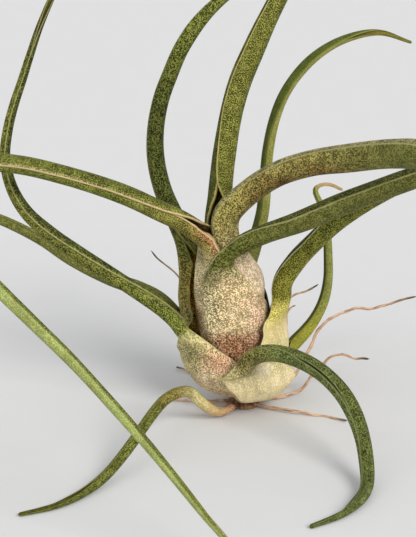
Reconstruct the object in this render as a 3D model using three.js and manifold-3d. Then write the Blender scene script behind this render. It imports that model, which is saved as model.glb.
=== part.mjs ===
// A small air plant: a false bulb of overlapping leaf sheaths on a rooted stem, with long rolled blades.
// Millimetres, +Z up. The origin is the middle of the stem's flat foot, on the surface it stands on.
// X runs to the plant's right, Y to its back. A bearing is an angle round the bulb: 0 is +X and 90 is +Y.
import * as THREE from 'three';
import { mergeVertices } from 'three/addons/utils/BufferGeometryUtils.js';
import Module from 'manifold-3d';

// Driving dimensions
const BULB_LEAN = -0.12;            // how far the bulb's axis moves along X for each mm of height
const BOWL_HEIGHT = 15;             // height of the bulb's widest part, below which it closes like a bowl
const SHEATH_THICKNESS = 0.9;
const SHEATH_EDGE = 0.65;
const SHEATH_GAP = 0.45;            // room between one sheath and the next
const ROLLING_GAP = 0.5;            // more room where a sheath rolls up into its blade
const SECTION_POINTS = 11;          // points across a leaf, on its outer and again on its inner face
const ROLLED_HALF_ANGLE = 168;      // a blade's margins stop this far round its axis, which leaves the groove
const SOLID_HALF_ANGLE = 85;
const CANAL_SHARE = 0.46;           // radius of the blade's canal as a share of the blade's radius
const SOLID_TIP_SHARE = 0.3;        // last part of the blade, over which the canal closes
const SHEATH_STEP = 3.2;            // distance between sections in a sheath, in its roll and in a blade
const ROLL_STEP = 1.8;
const BLADE_STEP = 7;

// The stem's outline as [radius, height], from the flat foot that the plant stands on up to the growing point
const STEM_OUTLINE = [[4.2, 0], [4.2, 0.8], [3, 1.5], [2.6, 3], [1.5, 8], [0.8, 13]];
const STEM_SIDES = 16;
const ROOT_SIDES = 6;
const ROOT_STEP = 3.2;
const ROOT_TIP_SHARE = 0.55;        // a root's radius at its tip as a share of its radius at the stem
const FLOOR_GAP = 0.02;             // room under a leaf or root that lies along the surface

// Each leaf, from the innermost to the outermost.
// sheath: midrib points as [bearing, distance from the bulb's axis, height].
// blade: points on the axis of the rolled blade as [x, y, z].
// rising, falling: degrees that the leaf reaches round towards rising and towards falling bearings, each with
// its place: -1 at the foot, 0 at the sheath's top, 1 at the tip.
// pouch: radius of the sheath's own curve as a share of its distance from the bulb's axis.
// radii: the blade's radius, at even steps from where it is fully rolled to its tip.
// roll: length over which the sheath rolls up into the blade.
// twist: turn of the groove in degrees, each with its place.
const LEAVES = [
  {
    name: 'leaf_01_centre',
    color: 0x6f7f3f,
    sheath: [[90, 2.2, 13.5], [90, 4.6, 17], [90, 5.6, 23], [90, 5.4, 30], [90, 4.7, 35]],
    blade: [[-5.9, 3.2, 41.5], [-6.6, 1.6, 48], [-6.2, 0, 54.5], [-5.8, -1, 60], [-4.95, -2, 67.6],
      [-3.25, -3, 77.8], [-1.2, -4, 85.3], [1.5, -5, 92], [5.5, -6, 101], [11.4, -6, 112],
      [19, -4, 122], [28, 0, 129]],
    rising: [[-1, 150], [-0.5, 130], [0, 100], [0.08, 102], [0.12, 112], [0.15, 125], [0.18, 145],
      [0.21, 165], [0.24, 183]],
    falling: [[-1, 150], [-0.5, 130], [0, 100], [0.08, 100], [0.12, 106], [0.15, 117], [0.18, 131],
      [0.21, 146], [0.226, 164], [0.244, 183]],
    pouch: 0.95, roll: 22, radii: [3.1, 2.8, 2.78, 2.3, 1.4, 0.45],
    twist: [[0, 0], [0.2, -15], [0.3, -36], [0.42, -54], [1, -58]],
  },
  {
    name: 'leaf_02_top_right',
    color: 0x7d7a44,
    sheath: [[-30, 3, 11], [-30, 6.6, 15], [-28, 7.9, 22], [-28, 8.8, 29], [-30, 9.2, 34.5]],
    blade: [[-0.1, -5.5, 40.5], [-4.5, -5.6, 46], [-4.6, -6, 51.8], [0.3, -8.6, 58], [7.1, -14, 64],
      [14.4, -21, 68.2], [23.1, -32, 71.95], [30.8, -44, 75.4], [37, -54, 77.2], [45, -66, 77],
      [52, -77, 71], [56, -86, 64]],
    rising: [[-1, 140], [-0.5, 108], [0, 66], [0.05, 62], [0.09, 112], [0.12, 165], [0.14, 183]],
    falling: [[-1, 140], [-0.5, 112], [0, 80], [0.05, 88], [0.09, 130], [0.12, 168], [0.14, 183]],
    pouch: 0.97, roll: 16, radii: [3.5, 3.0, 3.3, 3.3, 1.9, 0.45],
    twist: [[0, 30], [0.1, 55], [0.15, 68], [0.25, 62], [0.43, 40], [1, 35]],
  },
  {
    name: 'leaf_03_left',
    color: 0x8a8346,
    sheath: [[-168, 3.4, 9.8], [-168, 7.6, 14], [-168, 9.1, 22], [-166, 9.2, 29], [-163, 8.4, 34.5]],
    blade: [[-10.6, -4.8, 41], [-10.1, -5.9, 45.6], [-12.7, -7.3, 48.9], [-16, -7.9, 51.2], [-20.8, -9, 53.8],
      [-28.1, -10, 57.6], [-35.3, -11, 60.6], [-44.7, -13, 64], [-53, -15.5, 66.6], [-61, -20, 68.4],
      [-67, -31, 69.2], [-68, -46, 67.4], [-64, -60, 63.6], [-57.5, -72, 59], [-50.4, -80, 54.6],
      [-43, -85, 49], [-35.7, -89, 43], [-28.2, -92, 35.5], [-21, -94, 27.5], [-14.2, -95, 19],
      [-7.8, -95, 10.5], [-2, -94, 3.6], [5, -92, 0.5]],
    rising: [[-1, 150], [-0.5, 120], [0, 92], [0.02, 100], [0.04, 120], [0.055, 140], [0.07, 160],
      [0.1, 183]],
    falling: [[-1, 150], [-0.5, 120], [0, 88], [0.03, 92], [0.05, 106], [0.07, 148], [0.09, 172],
      [0.11, 183]],
    pouch: 0.97, roll: 17, radii: [2.6, 2.4, 2.3, 1.95, 1.65, 1.35, 1.15, 0.9, 0.5],
    twist: [[0, -20], [0.08, -47], [0.15, -79], [0.25, -88], [1, -80]],
  },
  {
    name: 'leaf_04_front',
    color: 0x8b8a5c,
    sheath: [[-85, 4, 8.9], [-85, 8, 12.9], [-85, 9.4, 20], [-92, 9.3, 27], [-104, 8.6, 33]],
    blade: [[-5.7, -9.7, 38.5], [-4.8, -11.2, 43], [-1.1, -13.4, 46.5], [4.2, -16.2, 49.8],
      [12.7, -21, 54.2], [22.7, -27, 60.2], [30.2, -32, 64.5], [37.6, -37, 68.6], [47, -43, 73.5],
      [57, -48, 79], [66, -51, 86], [73, -52, 95], [77, -51, 105]],
    rising: [[-1, 130], [-0.5, 118], [-0.15, 79], [0, 56], [0.03, 45], [0.06, 50], [0.085, 105],
      [0.11, 150], [0.14, 183]],
    falling: [[-1, 85], [-0.75, 66], [-0.5, 56], [-0.28, 43], [-0.15, 35], [0, 25], [0.03, 30], [0.05, 46],
      [0.08, 94], [0.1, 135], [0.13, 165], [0.16, 183]],
    pouch: 0.97, roll: 14, radii: [2.25, 2.65, 2.65, 2.2, 1.4, 0.45],
    twist: [[0, 60], [0.1, 84], [0.15, 106], [0.25, 130], [0.36, 134], [1, 134]],
  },
  {
    name: 'leaf_05_back_right',
    color: 0x5f7436,
    sheath: [[62, 4.4, 7.5], [62, 8.6, 12], [62, 10.2, 18], [62, 10.4, 25]],
    blade: [[1.2, 9.6, 34], [2.6, 10.6, 39], [3.9, 11.2, 43.4], [5.1, 12, 49], [5.7, 13, 56.7],
      [6.3, 13, 64.5], [7.8, 13, 72.3], [10.2, 13, 78.8], [14.2, 14, 84.6], [19.1, 15.5, 89],
      [26, 19, 92.2], [35, 24, 93.2], [44, 29, 90]],
    rising: [[-1, 110], [-0.5, 80], [0, 44], [0.025, 55], [0.05, 90], [0.076, 147], [0.1, 183]],
    falling: [[-1, 110], [-0.5, 80], [0, 44], [0.025, 55], [0.05, 90], [0.076, 147], [0.1, 183]],
    pouch: 0.95, roll: 10, radii: [2.2, 1.6, 1.4, 1.35, 1.0, 0.4],
    twist: [[0, 0], [0.2, 19], [0.43, 24], [0.55, 56], [1, 45]],
  },
  {
    name: 'leaf_06_back_left',
    color: 0x4f6a2c,
    sheath: [[160, 4.6, 6.6], [160, 9, 10.5], [160, 11.6, 14.5], [160, 12.7, 19]],
    blade: [[-14.9, 6.8, 27], [-13.9, 7.8, 33], [-14.4, 8, 39.3], [-17.1, 8, 46.8], [-20.6, 7, 55.4],
      [-22.3, 7, 63.2], [-22.3, 6, 71.1], [-20.9, 6, 78.7], [-18.6, 5, 85.1], [-15.5, 5.5, 92],
      [-10.5, 7, 99], [-3.5, 9.5, 105], [5, 13, 109], [14, 17, 109.5]],
    rising: [[-1, 112], [-0.5, 86], [0, 42], [0.03, 52], [0.06, 92], [0.09, 134], [0.12, 150],
      [0.155, 163], [0.19, 174], [0.23, 183]],
    falling: [[-1, 112], [-0.5, 90], [0, 56], [0.057, 68], [0.114, 102], [0.17, 153], [0.227, 183]],
    pouch: 0.9, roll: 26, radii: [2.5, 2.3, 2.1, 1.95, 1.3, 0.45],
    twist: [[0, 0], [0.1, -31], [0.2, -64], [0.3, -115], [0.55, -132], [1, -132]],
  },
  {
    name: 'leaf_07_right',
    color: 0xa5a04a,
    sheath: [[12, 5, 5.5], [10, 9.8, 9], [6, 12.8, 13], [0, 13.8, 18], [-5, 13.8, 23]],
    blade: [[9.5, -4, 33.5], [12.75, -5, 39.8], [17.1, -7, 45.4], [22, -9, 50.9], [28.6, -12, 56.5],
      [36.5, -15.5, 62.1], [46, -19, 67.7], [56, -21, 73.2], [66, -20, 77.5], [75, -16, 80],
      [82, -9, 81]],
    rising: [[-1, 100], [-0.5, 84], [0, 50], [0.03, 56], [0.05, 80], [0.07, 120], [0.088, 160], [0.105, 183]],
    falling: [[-1, 104], [-0.75, 102], [-0.5, 92], [-0.25, 72], [0, 53], [0.021, 62], [0.042, 94],
      [0.063, 145], [0.085, 183]],
    pouch: 0.88, roll: 9, radii: [2.6, 2.45, 2.3, 2.1, 1.4, 0.45],
    twist: [[0, 25], [0.1, 25], [0.22, 38], [0.35, 18], [1, 18]],
  },
  {
    name: 'leaf_08_far_left',
    color: 0x5b7a36,
    sheath: [[148, 5.2, 4.7], [148, 10.4, 7.6], [150, 12.6, 12], [154, 13, 16.5]],
    blade: [[-21, 9.2, 24.8], [-27, 11.8, 27.6], [-34.5, 13.6, 29.8], [-45.6, 17, 34.5],
      [-53.6, 19, 39.3], [-64.2, 21, 44.1], [-74, 22, 47], [-84, 21, 46.5], [-93, 17, 43],
      [-99, 11, 38]],
    rising: [[-1, 90], [-0.5, 72], [0, 52], [0.02, 64], [0.04, 100], [0.06, 152], [0.08, 183]],
    falling: [[-1, 90], [-0.5, 72], [0, 52], [0.02, 64], [0.04, 100], [0.06, 152], [0.08, 183]],
    pouch: 0.88, roll: 8, radii: [2.1, 1.85, 1.45, 1.1, 0.4],
    twist: [[0, 0], [0.3, -20], [1, -20]],
  },
  {
    name: 'leaf_09_lower_left',
    color: 0x5f7a34,
    sheath: [[-152, 5.3, 3.9], [-152, 10.4, 6.9], [-151, 13.3, 10.5], [-149, 13.4, 14.5]],
    blade: [[-14.6, -8.5, 20.6], [-16.6, -8.9, 24.6], [-19.8, -9, 28], [-25.6, -9, 32.4],
      [-33.4, -9, 37.8], [-40.9, -9, 42.9], [-48.1, -8, 47.9], [-53.8, -7, 53], [-57.4, -5.5, 58.9],
      [-59, -4, 66], [-58.2, -3, 72.8], [-56.6, -2, 78.8], [-54.5, -1, 84.8], [-52.4, 0, 91],
      [-49.5, 2, 99], [-45, 5, 108], [-38, 9, 116]],
    rising: [[-1, 92], [-0.667, 90], [-0.333, 82], [-0.1, 70], [0, 64], [0.03, 88], [0.046, 126],
      [0.06, 155], [0.075, 174], [0.09, 183]],
    falling: [[-1, 90], [-0.5, 76], [0, 28], [0.03, 28], [0.045, 38], [0.06, 76], [0.075, 140], [0.095, 183]],
    pouch: 0.86, roll: 10, radii: [1.95, 1.9, 1.9, 1.4, 1.1, 0.85, 0.4],
    twist: [[0, -20], [0.16, -44], [0.25, -80], [0.4, -100], [1, -95]],
  },
  {
    name: 'leaf_10_curled_right',
    color: 0x8f9a3a,
    sheath: [[38, 5.6, 3.6], [38, 10.6, 5.4], [38, 12.9, 8]],
    blade: [[13.4, 11, 12.6], [16.6, 13, 15.4], [19.4, 15, 18.6], [21.75, 17, 23], [22.8, 18, 28.3],
      [22.8, 19, 34.9], [22.5, 20, 40.2], [21.8, 20, 45.4], [20.4, 21, 49], [19.35, 23, 51.4],
      [20.8, 26, 52.4], [23.8, 28, 52], [26.7, 27.4, 50.8]],
    rising: [[-1, 80], [0, 42], [0.028, 53], [0.056, 88], [0.084, 146], [0.11, 183]],
    falling: [[-1, 80], [0, 42], [0.028, 53], [0.056, 88], [0.084, 146], [0.11, 183]],
    pouch: 0.8, roll: 7, radii: [1.9, 1.5, 1.25, 1.1, 0.75, 0.4],
    twist: [[0, 20], [1, 25]],
  },
  {
    name: 'leaf_11_lower_front',
    color: 0xc6c59a,
    sheath: [[-66, 5.4, 2.4], [-66, 11.2, 4.8], [-67, 13.8, 8], [-70, 14.2, 11.5]],
    blade: [[0.8, -16.8, 17.2], [2.8, -19.2, 20], [5.6, -21.3, 21.4], [9.3, -24, 21.9], [14, -28, 21.4],
      [18.5, -33, 19.9], [22.4, -38, 17], [24.9, -42, 13.3], [26.5, -46, 8.9], [27.1, -50.5, 4.2],
      [26.6, -56, 1.9], [24.2, -62.5, 1.1], [19.5, -69, 0.7], [13, -74, 0.5]],
    rising: [[-1, 100], [-0.5, 84], [0, 60], [0.022, 68], [0.045, 88], [0.067, 140], [0.09, 183], [0.24, 183],
      [0.3, 171], [0.42, 171], [0.54, 183]],
    falling: [[-1, 34], [-0.7, 30], [-0.42, 36], [-0.18, 42], [0, 44], [0.015, 50], [0.035, 90],
      [0.05, 130], [0.065, 160], [0.08, 183], [0.24, 183], [0.3, 171], [0.42, 171],
      [0.54, 183]],
    pouch: 0.86, roll: 8, radii: [2.15, 2.1, 2.05, 1.75, 1.3, 0.5],
    twist: [[0, 40], [0.24, 50], [0.3, 64], [0.42, 66], [0.57, 75], [0.65, 88], [1, 90]],
  },
  {
    name: 'leaf_12_low_left',
    color: 0x7d9440,
    sheath: [],
    blade: [[-2.8, -4.4, 1.1], [-3.9, -6.4, 1.2], [-5.7, -9.1, 1.4], [-8, -11.6, 2.8], [-10.6, -14, 5.6],
      [-13.6, -17, 9.6], [-16.4, -21, 11], [-19.5, -26, 11], [-22.4, -32, 9.6], [-25.1, -37, 7.2],
      [-28.4, -43, 4.4], [-32.6, -51, 2], [-37, -58, 1.1], [-42.5, -64, 0.7], [-50, -68, 0.5]],
    rising: [[0, 183], [1, 183]],
    falling: [[0, 183], [1, 183]],
    pouch: 1, roll: 0, radii: [1, 1.4, 1.35, 1.3, 1.3, 1.2, 0.9, 0.45],
    twist: [[0, 0], [1, 5]],
  },
];

// Wiry roots, as points on their middle line, each with its radius at the stem
const ROOTS = [
  {
    radius: 0.55,
    path: [[2, 2, 1], [7, 7.5, 0.8], [12, 13, 1], [17, 20, 5], [22, 25, 13], [30, 30, 16.1], [38.7, 33, 16.1],
      [49, 35, 18.6]],
  },
  {
    radius: 0.5,
    path: [[3, 1, 1], [9, 3, 0.8], [15, 6.5, 1.4], [19.5, 8, 6], [24.6, 8.6, 10.6], [29.6, 8, 9.8],
      [33.3, 6, 10.3]],
  },
  {
    radius: 0.45,
    path: [[1.2, 3.2, 1], [4, 9, 1], [8.5, 14.5, 4], [11.5, 16.5, 11], [12, 16.5, 17], [11.8, 16, 22],
      [13.9, 18, 24.1], [16.6, 19, 24.7], [20.6, 21, 26.3]],
  },
  { radius: 0.4, path: [[11.8, 16.4, 14.5], [11.4, 14.4, 19.3], [13, 14, 21.8], [14.2, 14, 22.4]] },
  {
    radius: 0.36,
    path: [[-1, 3.5, 1], [-2.5, 10, 0.8], [-7, 17.5, 3], [-12, 18.5, 10], [-14.8, 17, 18], [-15.8, 15, 26],
      [-16.7, 14, 30.3], [-20.4, 15, 33.3], [-24.3, 16, 36.8]],
  },
  { radius: 0.5, path: [[-2, 2.5, 1], [-5, 9, 0.7], [-9, 16, 1.2], [-12, 21, 0.6], [-18, 27, 0.4]] },
  { radius: 0.45, path: [[0, 3, 1], [1, 10, 0.7], [2, 17, 1.5], [-1, 23, 0.6], [0, 31, 0.4]] },
  { radius: 0.45, path: [[2.5, -2, 0.9], [8, -5, 0.7], [14, -8, 0.8], [20, -9, 0.5], [26, -13, 0.4]] },
  { radius: 0.4, path: [[-3, 0, 0.9], [-9, 0.6, 0.7], [-15, 1, 0.6], [-22, 3, 0.4]] },
];

const DEG = Math.PI / 180;
const UP = new THREE.Vector3(0, 0, 1);
const mix = (a, b, t) => a + (b - a) * t;
const smooth = (t) => THREE.MathUtils.smoothstep(t, 0, 1);
const outward = (bearing) => new THREE.Vector3(Math.cos(bearing * DEG), Math.sin(bearing * DEG), 0);
const axisPoint = (z) => new THREE.Vector3(BULB_LEAN * z, 0, z);

// Reads a list of values at even steps, with a smooth passage between them
function along(values, t) {
  const place = Math.min(0.99999, Math.max(0, t)) * (values.length - 1);
  const i = Math.floor(place);
  return mix(values[i], values[i + 1], smooth(place - i) * 0.5 + (place - i) * 0.5);
}

// Reads a list of [place, value], straight between one place and the next
function readAt(list, place) {
  const next = list.findIndex(([at]) => at >= place);
  if (next === 0) return list[0][1];
  if (next < 0) return list.at(-1)[1];
  const [from, a] = list[next - 1];
  const [to, b] = list[next];
  return mix(a, b, (place - from) / (to - from));
}

// Records how far the sheaths laid so far stand out from the bulb's axis.
// A place is a bearing and a height. Below BOWL_HEIGHT an angle from the bowl's centre is the height.
const TURN_CELLS = 72;
const ROWS = 64;
class BulbSurface {
  constructor() {
    this.raw = new Float64Array(TURN_CELLS * ROWS);
    this.eased = new Float64Array(TURN_CELLS * ROWS);
  }

  place(p) {
    const centre = axisPoint(Math.max(p.z, BOWL_HEIGHT));
    const away = p.clone().sub(centre);
    const flat = Math.hypot(away.x, away.y);
    const bowlRow = BOWL_HEIGHT * (1 + Math.atan2(away.z, flat) / (Math.PI / 2));
    const row = p.z >= BOWL_HEIGHT ? p.z : bowlRow;
    const turn = ((Math.atan2(away.y, away.x) / (2 * Math.PI) + 1) % 1) * TURN_CELLS;
    return { row, turn, distance: away.length(), direction: away.normalize() };
  }

  mark(p) {
    const { row, turn, distance } = this.place(p);
    const r = Math.round(row);
    if (r < 0 || r >= ROWS) return;
    const cell = r * TURN_CELLS + (Math.round(turn) % TURN_CELLS);
    this.raw[cell] = Math.max(this.raw[cell], distance);
  }

  // Widens every high place, then averages over a smaller window, which keeps the result above every mark
  ease() {
    const sweep = (from, turnReach, rowReach, pick) => {
      const made = new Float64Array(from.length);
      for (let r = 0; r < ROWS; r += 1) {
        for (let c = 0; c < TURN_CELLS; c += 1) {
          const seen = [];
          for (let dr = -rowReach; dr <= rowReach; dr += 1) {
            for (let dc = -turnReach; dc <= turnReach; dc += 1) {
              const row = Math.min(ROWS - 1, Math.max(0, r + dr));
              seen.push(from[row * TURN_CELLS + ((c + dc + TURN_CELLS) % TURN_CELLS)]);
            }
          }
          made[r * TURN_CELLS + c] = pick(seen);
        }
      }
      return made;
    };
    const widened = sweep(this.raw, 5, 1, (seen) => Math.max(...seen));
    this.eased = sweep(widened, 3, 1, (seen) => seen.reduce((a, b) => a + b, 0) / seen.length);
  }

  height(row, turn) {
    const r = Math.min(ROWS - 1.001, Math.max(0, row));
    const r0 = Math.floor(r);
    const c0 = Math.floor(turn);
    const read = (rr, cc) => this.eased[rr * TURN_CELLS + (cc % TURN_CELLS)];
    const near = mix(read(r0, c0), read(r0, c0 + 1), turn - c0);
    const far = mix(read(r0 + 1, c0), read(r0 + 1, c0 + 1), turn - c0);
    return mix(near, far, r - r0);
  }

  // How far a point has to move out to clear the sheaths inside it
  shortfall(p, room) {
    const { row, turn, distance, direction } = this.place(p);
    return { lack: this.height(row, turn) + room - distance, direction };
  }
}

// The leaf's guide line: up the midrib of the sheath, then along the axis of the blade
function guideLine(leaf) {
  const midrib = ([bearing, radius, z]) => axisPoint(z).add(outward(bearing).multiplyScalar(radius));
  const sheath = leaf.sheath.map(midrib);
  const blade = leaf.blade.map((p) => new THREE.Vector3(...p));
  const curve = new THREE.CatmullRomCurve3([...sheath, ...blade], false, 'centripetal');
  curve.arcLengthDivisions = 1200;
  const share = Math.max(0, sheath.length - 1) / (sheath.length + blade.length - 1);
  const lengths = curve.getLengths();
  const sheathEnd = lengths[Math.round(share * curve.arcLengthDivisions)];
  return { curve, length: curve.getLength(), sheathEnd };
}

// Distances along the guide line at which the leaf has a section
function stations(leaf, line) {
  const rolledAt = line.sheathEnd + leaf.roll;
  const places = [];
  const run = (from, to, count) => {
    for (let i = 0; i < count; i += 1) places.push(mix(from, to, i / count));
  };
  run(0, line.sheathEnd, Math.round(line.sheathEnd / SHEATH_STEP));
  run(line.sheathEnd, rolledAt, Math.round(leaf.roll / ROLL_STEP));
  run(rolledAt, line.length, Math.max(6, Math.round((line.length - rolledAt) / BLADE_STEP)));
  places.push(line.length);
  return places;
}

// Frames along the leaf: level ones round the bulb in the sheath, then ones carried along the blade
function frames(leaf, line, places) {
  const rolledAt = line.sheathEnd + leaf.roll;
  let carried = null;
  let lastTangent = null;
  return places.map((s) => {
    const u = s / line.length;
    const point = line.curve.getPointAt(u);
    const tangent = line.curve.getTangentAt(u);
    const fromAxis = point.clone().sub(axisPoint(point.z)).setZ(0).normalize();
    const level = leaf.sheath.length ? fromAxis.clone().negate() : UP.clone();
    if (!carried) {
      carried = level.clone();
      lastTangent = tangent;
    } else {
      const turn = new THREE.Quaternion().setFromUnitVectors(lastTangent, tangent);
      carried = s <= line.sheathEnd ? level.clone() : carried.applyQuaternion(turn);
      lastTangent = tangent;
    }
    const square = carried.clone().addScaledVector(tangent, -carried.dot(tangent)).normalize();
    const inSheath = s < line.sheathEnd;
    const place = inSheath ? s / line.sheathEnd - 1 : (s - line.sheathEnd) / (line.length - line.sheathEnd);
    const turned = square.clone().applyAxisAngle(tangent, readAt(leaf.twist, place) * DEG);
    const share = leaf.sheath.length ? smooth((s - line.sheathEnd) / leaf.roll) : 1;
    const inward = level.clone().lerp(turned, share).normalize();
    const sideways = new THREE.Vector3(level.y, -level.x, 0).negate()
      .lerp(new THREE.Vector3().crossVectors(tangent, turned), share);
    sideways.addScaledVector(inward, -sideways.dot(inward)).normalize();
    const blade = Math.max(0, (s - rolledAt) / (line.length - rolledAt));
    return { point, inward, sideways, share, blade, place };
  });
}

// Radius of a section's curve. Where the sheath rolls up, its curvature changes evenly
function curveRadius(leaf, { point, share }, bladeRadius) {
  if (share === 1) return bladeRadius;
  const fromAxis = Math.hypot(point.x - BULB_LEAN * point.z, point.y);
  if (share === 0) return fromAxis * leaf.pouch;
  const topRadius = leaf.sheath.at(-1)[1] * leaf.pouch;
  return topRadius * (bladeRadius / topRadius) ** share;
}

// One section of a leaf, as an outer and an inner row of points from one edge to the other
function section(leaf, frame) {
  const { point, inward, sideways, share, blade, place } = frame;
  const bladeRadius = along(leaf.radii, blade);
  const radius = curveRadius(leaf, frame, bladeRadius);
  const rising = Math.min(ROLLED_HALF_ANGLE, readAt(leaf.rising, place));
  const falling = Math.min(ROLLED_HALF_ANGLE, readAt(leaf.falling, place));
  const closing = smooth((blade - (1 - SOLID_TIP_SHARE)) / SOLID_TIP_SHARE);
  const centre = point.clone().addScaledVector(inward, radius - bladeRadius * share);
  const at = (reach, angle) => centre.clone()
    .addScaledVector(inward, -reach * Math.cos(angle)).addScaledVector(sideways, reach * Math.sin(angle));
  const bowl = axisPoint(Math.max(point.z, BOWL_HEIGHT));
  const outer = [];
  const inner = [];
  for (let j = 0; j < SECTION_POINTS; j += 1) {
    const f = (2 * j) / (SECTION_POINTS - 1) - 1;
    const wrap = f < 0 ? rising : falling;
    const angle = f * mix(wrap, SOLID_HALF_ANGLE, closing) * DEG;
    const sheathWall = mix(SHEATH_THICKNESS, SHEATH_EDGE, f * f);
    const thickness = mix(sheathWall, bladeRadius * (1 - CANAL_SHARE), share);
    const face = at(radius, f * wrap * DEG);
    const toCentre = bowl.clone().sub(face).normalize()
      .lerp(at(radius - 1, f * wrap * DEG).sub(face), smooth(share * 2)).normalize();
    const canal = face.addScaledVector(toCentre, thickness);
    const solid = at(radius, Math.PI - f * SOLID_HALF_ANGLE * DEG);
    outer.push(at(radius, angle));
    inner.push(canal.lerp(solid, closing));
  }
  return { outer, inner, share };
}

// Moves a section's points off the sheaths that lie inside it
function clearOf(bulb, rows) {
  const hold = 1 - smooth((rows.share - 0.8) / 0.2);
  const room = SHEATH_GAP + ROLLING_GAP * Math.sin(Math.PI * rows.share);
  rows.outer.forEach((p, j) => {
    const q = rows.inner[j];
    const a = bulb.shortfall(p, room);
    const b = bulb.shortfall(q, room);
    const worst = a.lack > b.lack ? a : b;
    const move = hold * 0.5 * (worst.lack + Math.hypot(worst.lack, 0.25));
    p.addScaledVector(worst.direction, move);
    q.addScaledVector(worst.direction, move);
  });
}

// Marks the whole sheath on the bulb's surface, with points between the sections too
function markSheath(bulb, sections) {
  const fine = 5;
  for (let i = 0; i + 1 < sections.length && sections[i].share < 0.95; i += 1) {
    for (const side of ['outer', 'inner']) {
      for (let j = 0; j + 1 < SECTION_POINTS; j += 1) {
        for (let a = 0; a <= fine; a += 1) {
          for (let b = 0; b <= fine; b += 1) {
            const low = sections[i][side][j].clone().lerp(sections[i][side][j + 1], b / fine);
            const high = sections[i + 1][side][j].clone().lerp(sections[i + 1][side][j + 1], b / fine);
            bulb.mark(low.lerp(high, a / fine));
          }
        }
      }
    }
  }
  bulb.ease();
}

// Joins the sections into one closed skin
function skin(sections) {
  const n = SECTION_POINTS;
  const loop = 2 * n;
  const positions = [];
  const indices = [];
  for (const rows of sections) {
    for (const p of [...rows.outer, ...[...rows.inner].reverse()]) positions.push(p.x, p.y, p.z);
  }
  for (let i = 0; i + 1 < sections.length; i += 1) {
    for (let k = 0; k < loop; k += 1) {
      const a = i * loop + k;
      const b = i * loop + ((k + 1) % loop);
      // Both faces are split along the same diagonal, so that a thin sheath never crosses itself
      if (k < n) indices.push(a, b + loop, b, a, a + loop, b + loop);
      else indices.push(a, a + loop, b, b, a + loop, b + loop);
    }
  }
  const last = (sections.length - 1) * loop;
  for (let j = 0; j + 1 < n; j += 1) {
    const o = j;
    const q = loop - 1 - j;
    indices.push(o, q - 1, q, o, o + 1, q - 1);
    indices.push(last + o, last + q, last + q - 1, last + o, last + q - 1, last + o + 1);
  }
  const geometry = new THREE.BufferGeometry();
  geometry.setAttribute('position', new THREE.Float32BufferAttribute(positions, 3));
  geometry.setIndex(indices);
  geometry.computeVertexNormals();
  return geometry;
}

function plantMaterial(color) {
  return new THREE.MeshStandardMaterial({ color, roughness: 0.75, metalness: 0 });
}

// Keeps a section from reaching below the surface that the plant stands on
function keepAbove(rows) {
  const points = [...rows.outer, ...rows.inner];
  const lift = Math.max(0, FLOOR_GAP - Math.min(...points.map((p) => p.z)));
  points.forEach((p) => { p.z += lift; });
}

function makeLeaf(leaf, bulb) {
  const line = guideLine(leaf);
  const sections = frames(leaf, line, stations(leaf, line)).map((frame) => section(leaf, frame));
  sections.forEach((rows) => clearOf(bulb, rows));
  sections.forEach(keepAbove);
  markSheath(bulb, sections);
  const mesh = new THREE.Mesh(skin(sections), plantMaterial(leaf.color));
  mesh.name = leaf.name;
  return mesh;
}

// A closed tube along a root's path, which thins toward its tip
function rootGeometry({ radius, path }) {
  const curve = new THREE.CatmullRomCurve3(path.map((p) => new THREE.Vector3(...p)), false, 'centripetal');
  const steps = Math.round(curve.getLength() / ROOT_STEP);
  const { normals, binormals } = curve.computeFrenetFrames(steps, false);
  const positions = [];
  const indices = [];
  for (let i = 0; i <= steps; i += 1) {
    const centre = curve.getPointAt(i / steps);
    const thick = radius * mix(1, ROOT_TIP_SHARE, i / steps);
    for (let k = 0; k < ROOT_SIDES; k += 1) {
      const angle = (2 * Math.PI * k) / ROOT_SIDES;
      const p = centre.clone()
        .addScaledVector(normals[i], thick * Math.cos(angle))
        .addScaledVector(binormals[i], thick * Math.sin(angle));
      positions.push(p.x, p.y, Math.max(FLOOR_GAP, p.z));
    }
  }
  for (let i = 0; i < steps; i += 1) {
    for (let k = 0; k < ROOT_SIDES; k += 1) {
      const a = i * ROOT_SIDES + k;
      const b = i * ROOT_SIDES + ((k + 1) % ROOT_SIDES);
      indices.push(a, b, b + ROOT_SIDES, a, b + ROOT_SIDES, a + ROOT_SIDES);
    }
  }
  const last = steps * ROOT_SIDES;
  for (let k = 1; k + 1 < ROOT_SIDES; k += 1) {
    indices.push(0, k + 1, k);
    indices.push(last, last + k, last + k + 1);
  }
  const geometry = new THREE.BufferGeometry();
  geometry.setAttribute('position', new THREE.Float32BufferAttribute(positions, 3));
  geometry.setIndex(indices);
  return geometry;
}

function stemGeometry() {
  const outline = [[0, 0], ...STEM_OUTLINE, [0, STEM_OUTLINE.at(-1)[1]]];
  const geometry = new THREE.LatheGeometry(outline.map(([r, z]) => new THREE.Vector2(r, z)), STEM_SIDES);
  geometry.rotateX(Math.PI / 2);
  const position = geometry.getAttribute('position');
  for (let i = 0; i < position.count; i += 1) {
    position.setX(i, position.getX(i) + BULB_LEAN * position.getZ(i));
  }
  return geometry;
}

function toSolid(geometry) {
  geometry.deleteAttribute('normal');
  geometry.deleteAttribute('uv');
  const merged = mergeVertices(geometry, 1e-4);
  const mesh = new wasm.Mesh({
    numProp: 3,
    vertProperties: merged.getAttribute('position').array,
    triVerts: new Uint32Array(merged.index.array),
  });
  return new wasm.Manifold(mesh);
}

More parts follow.
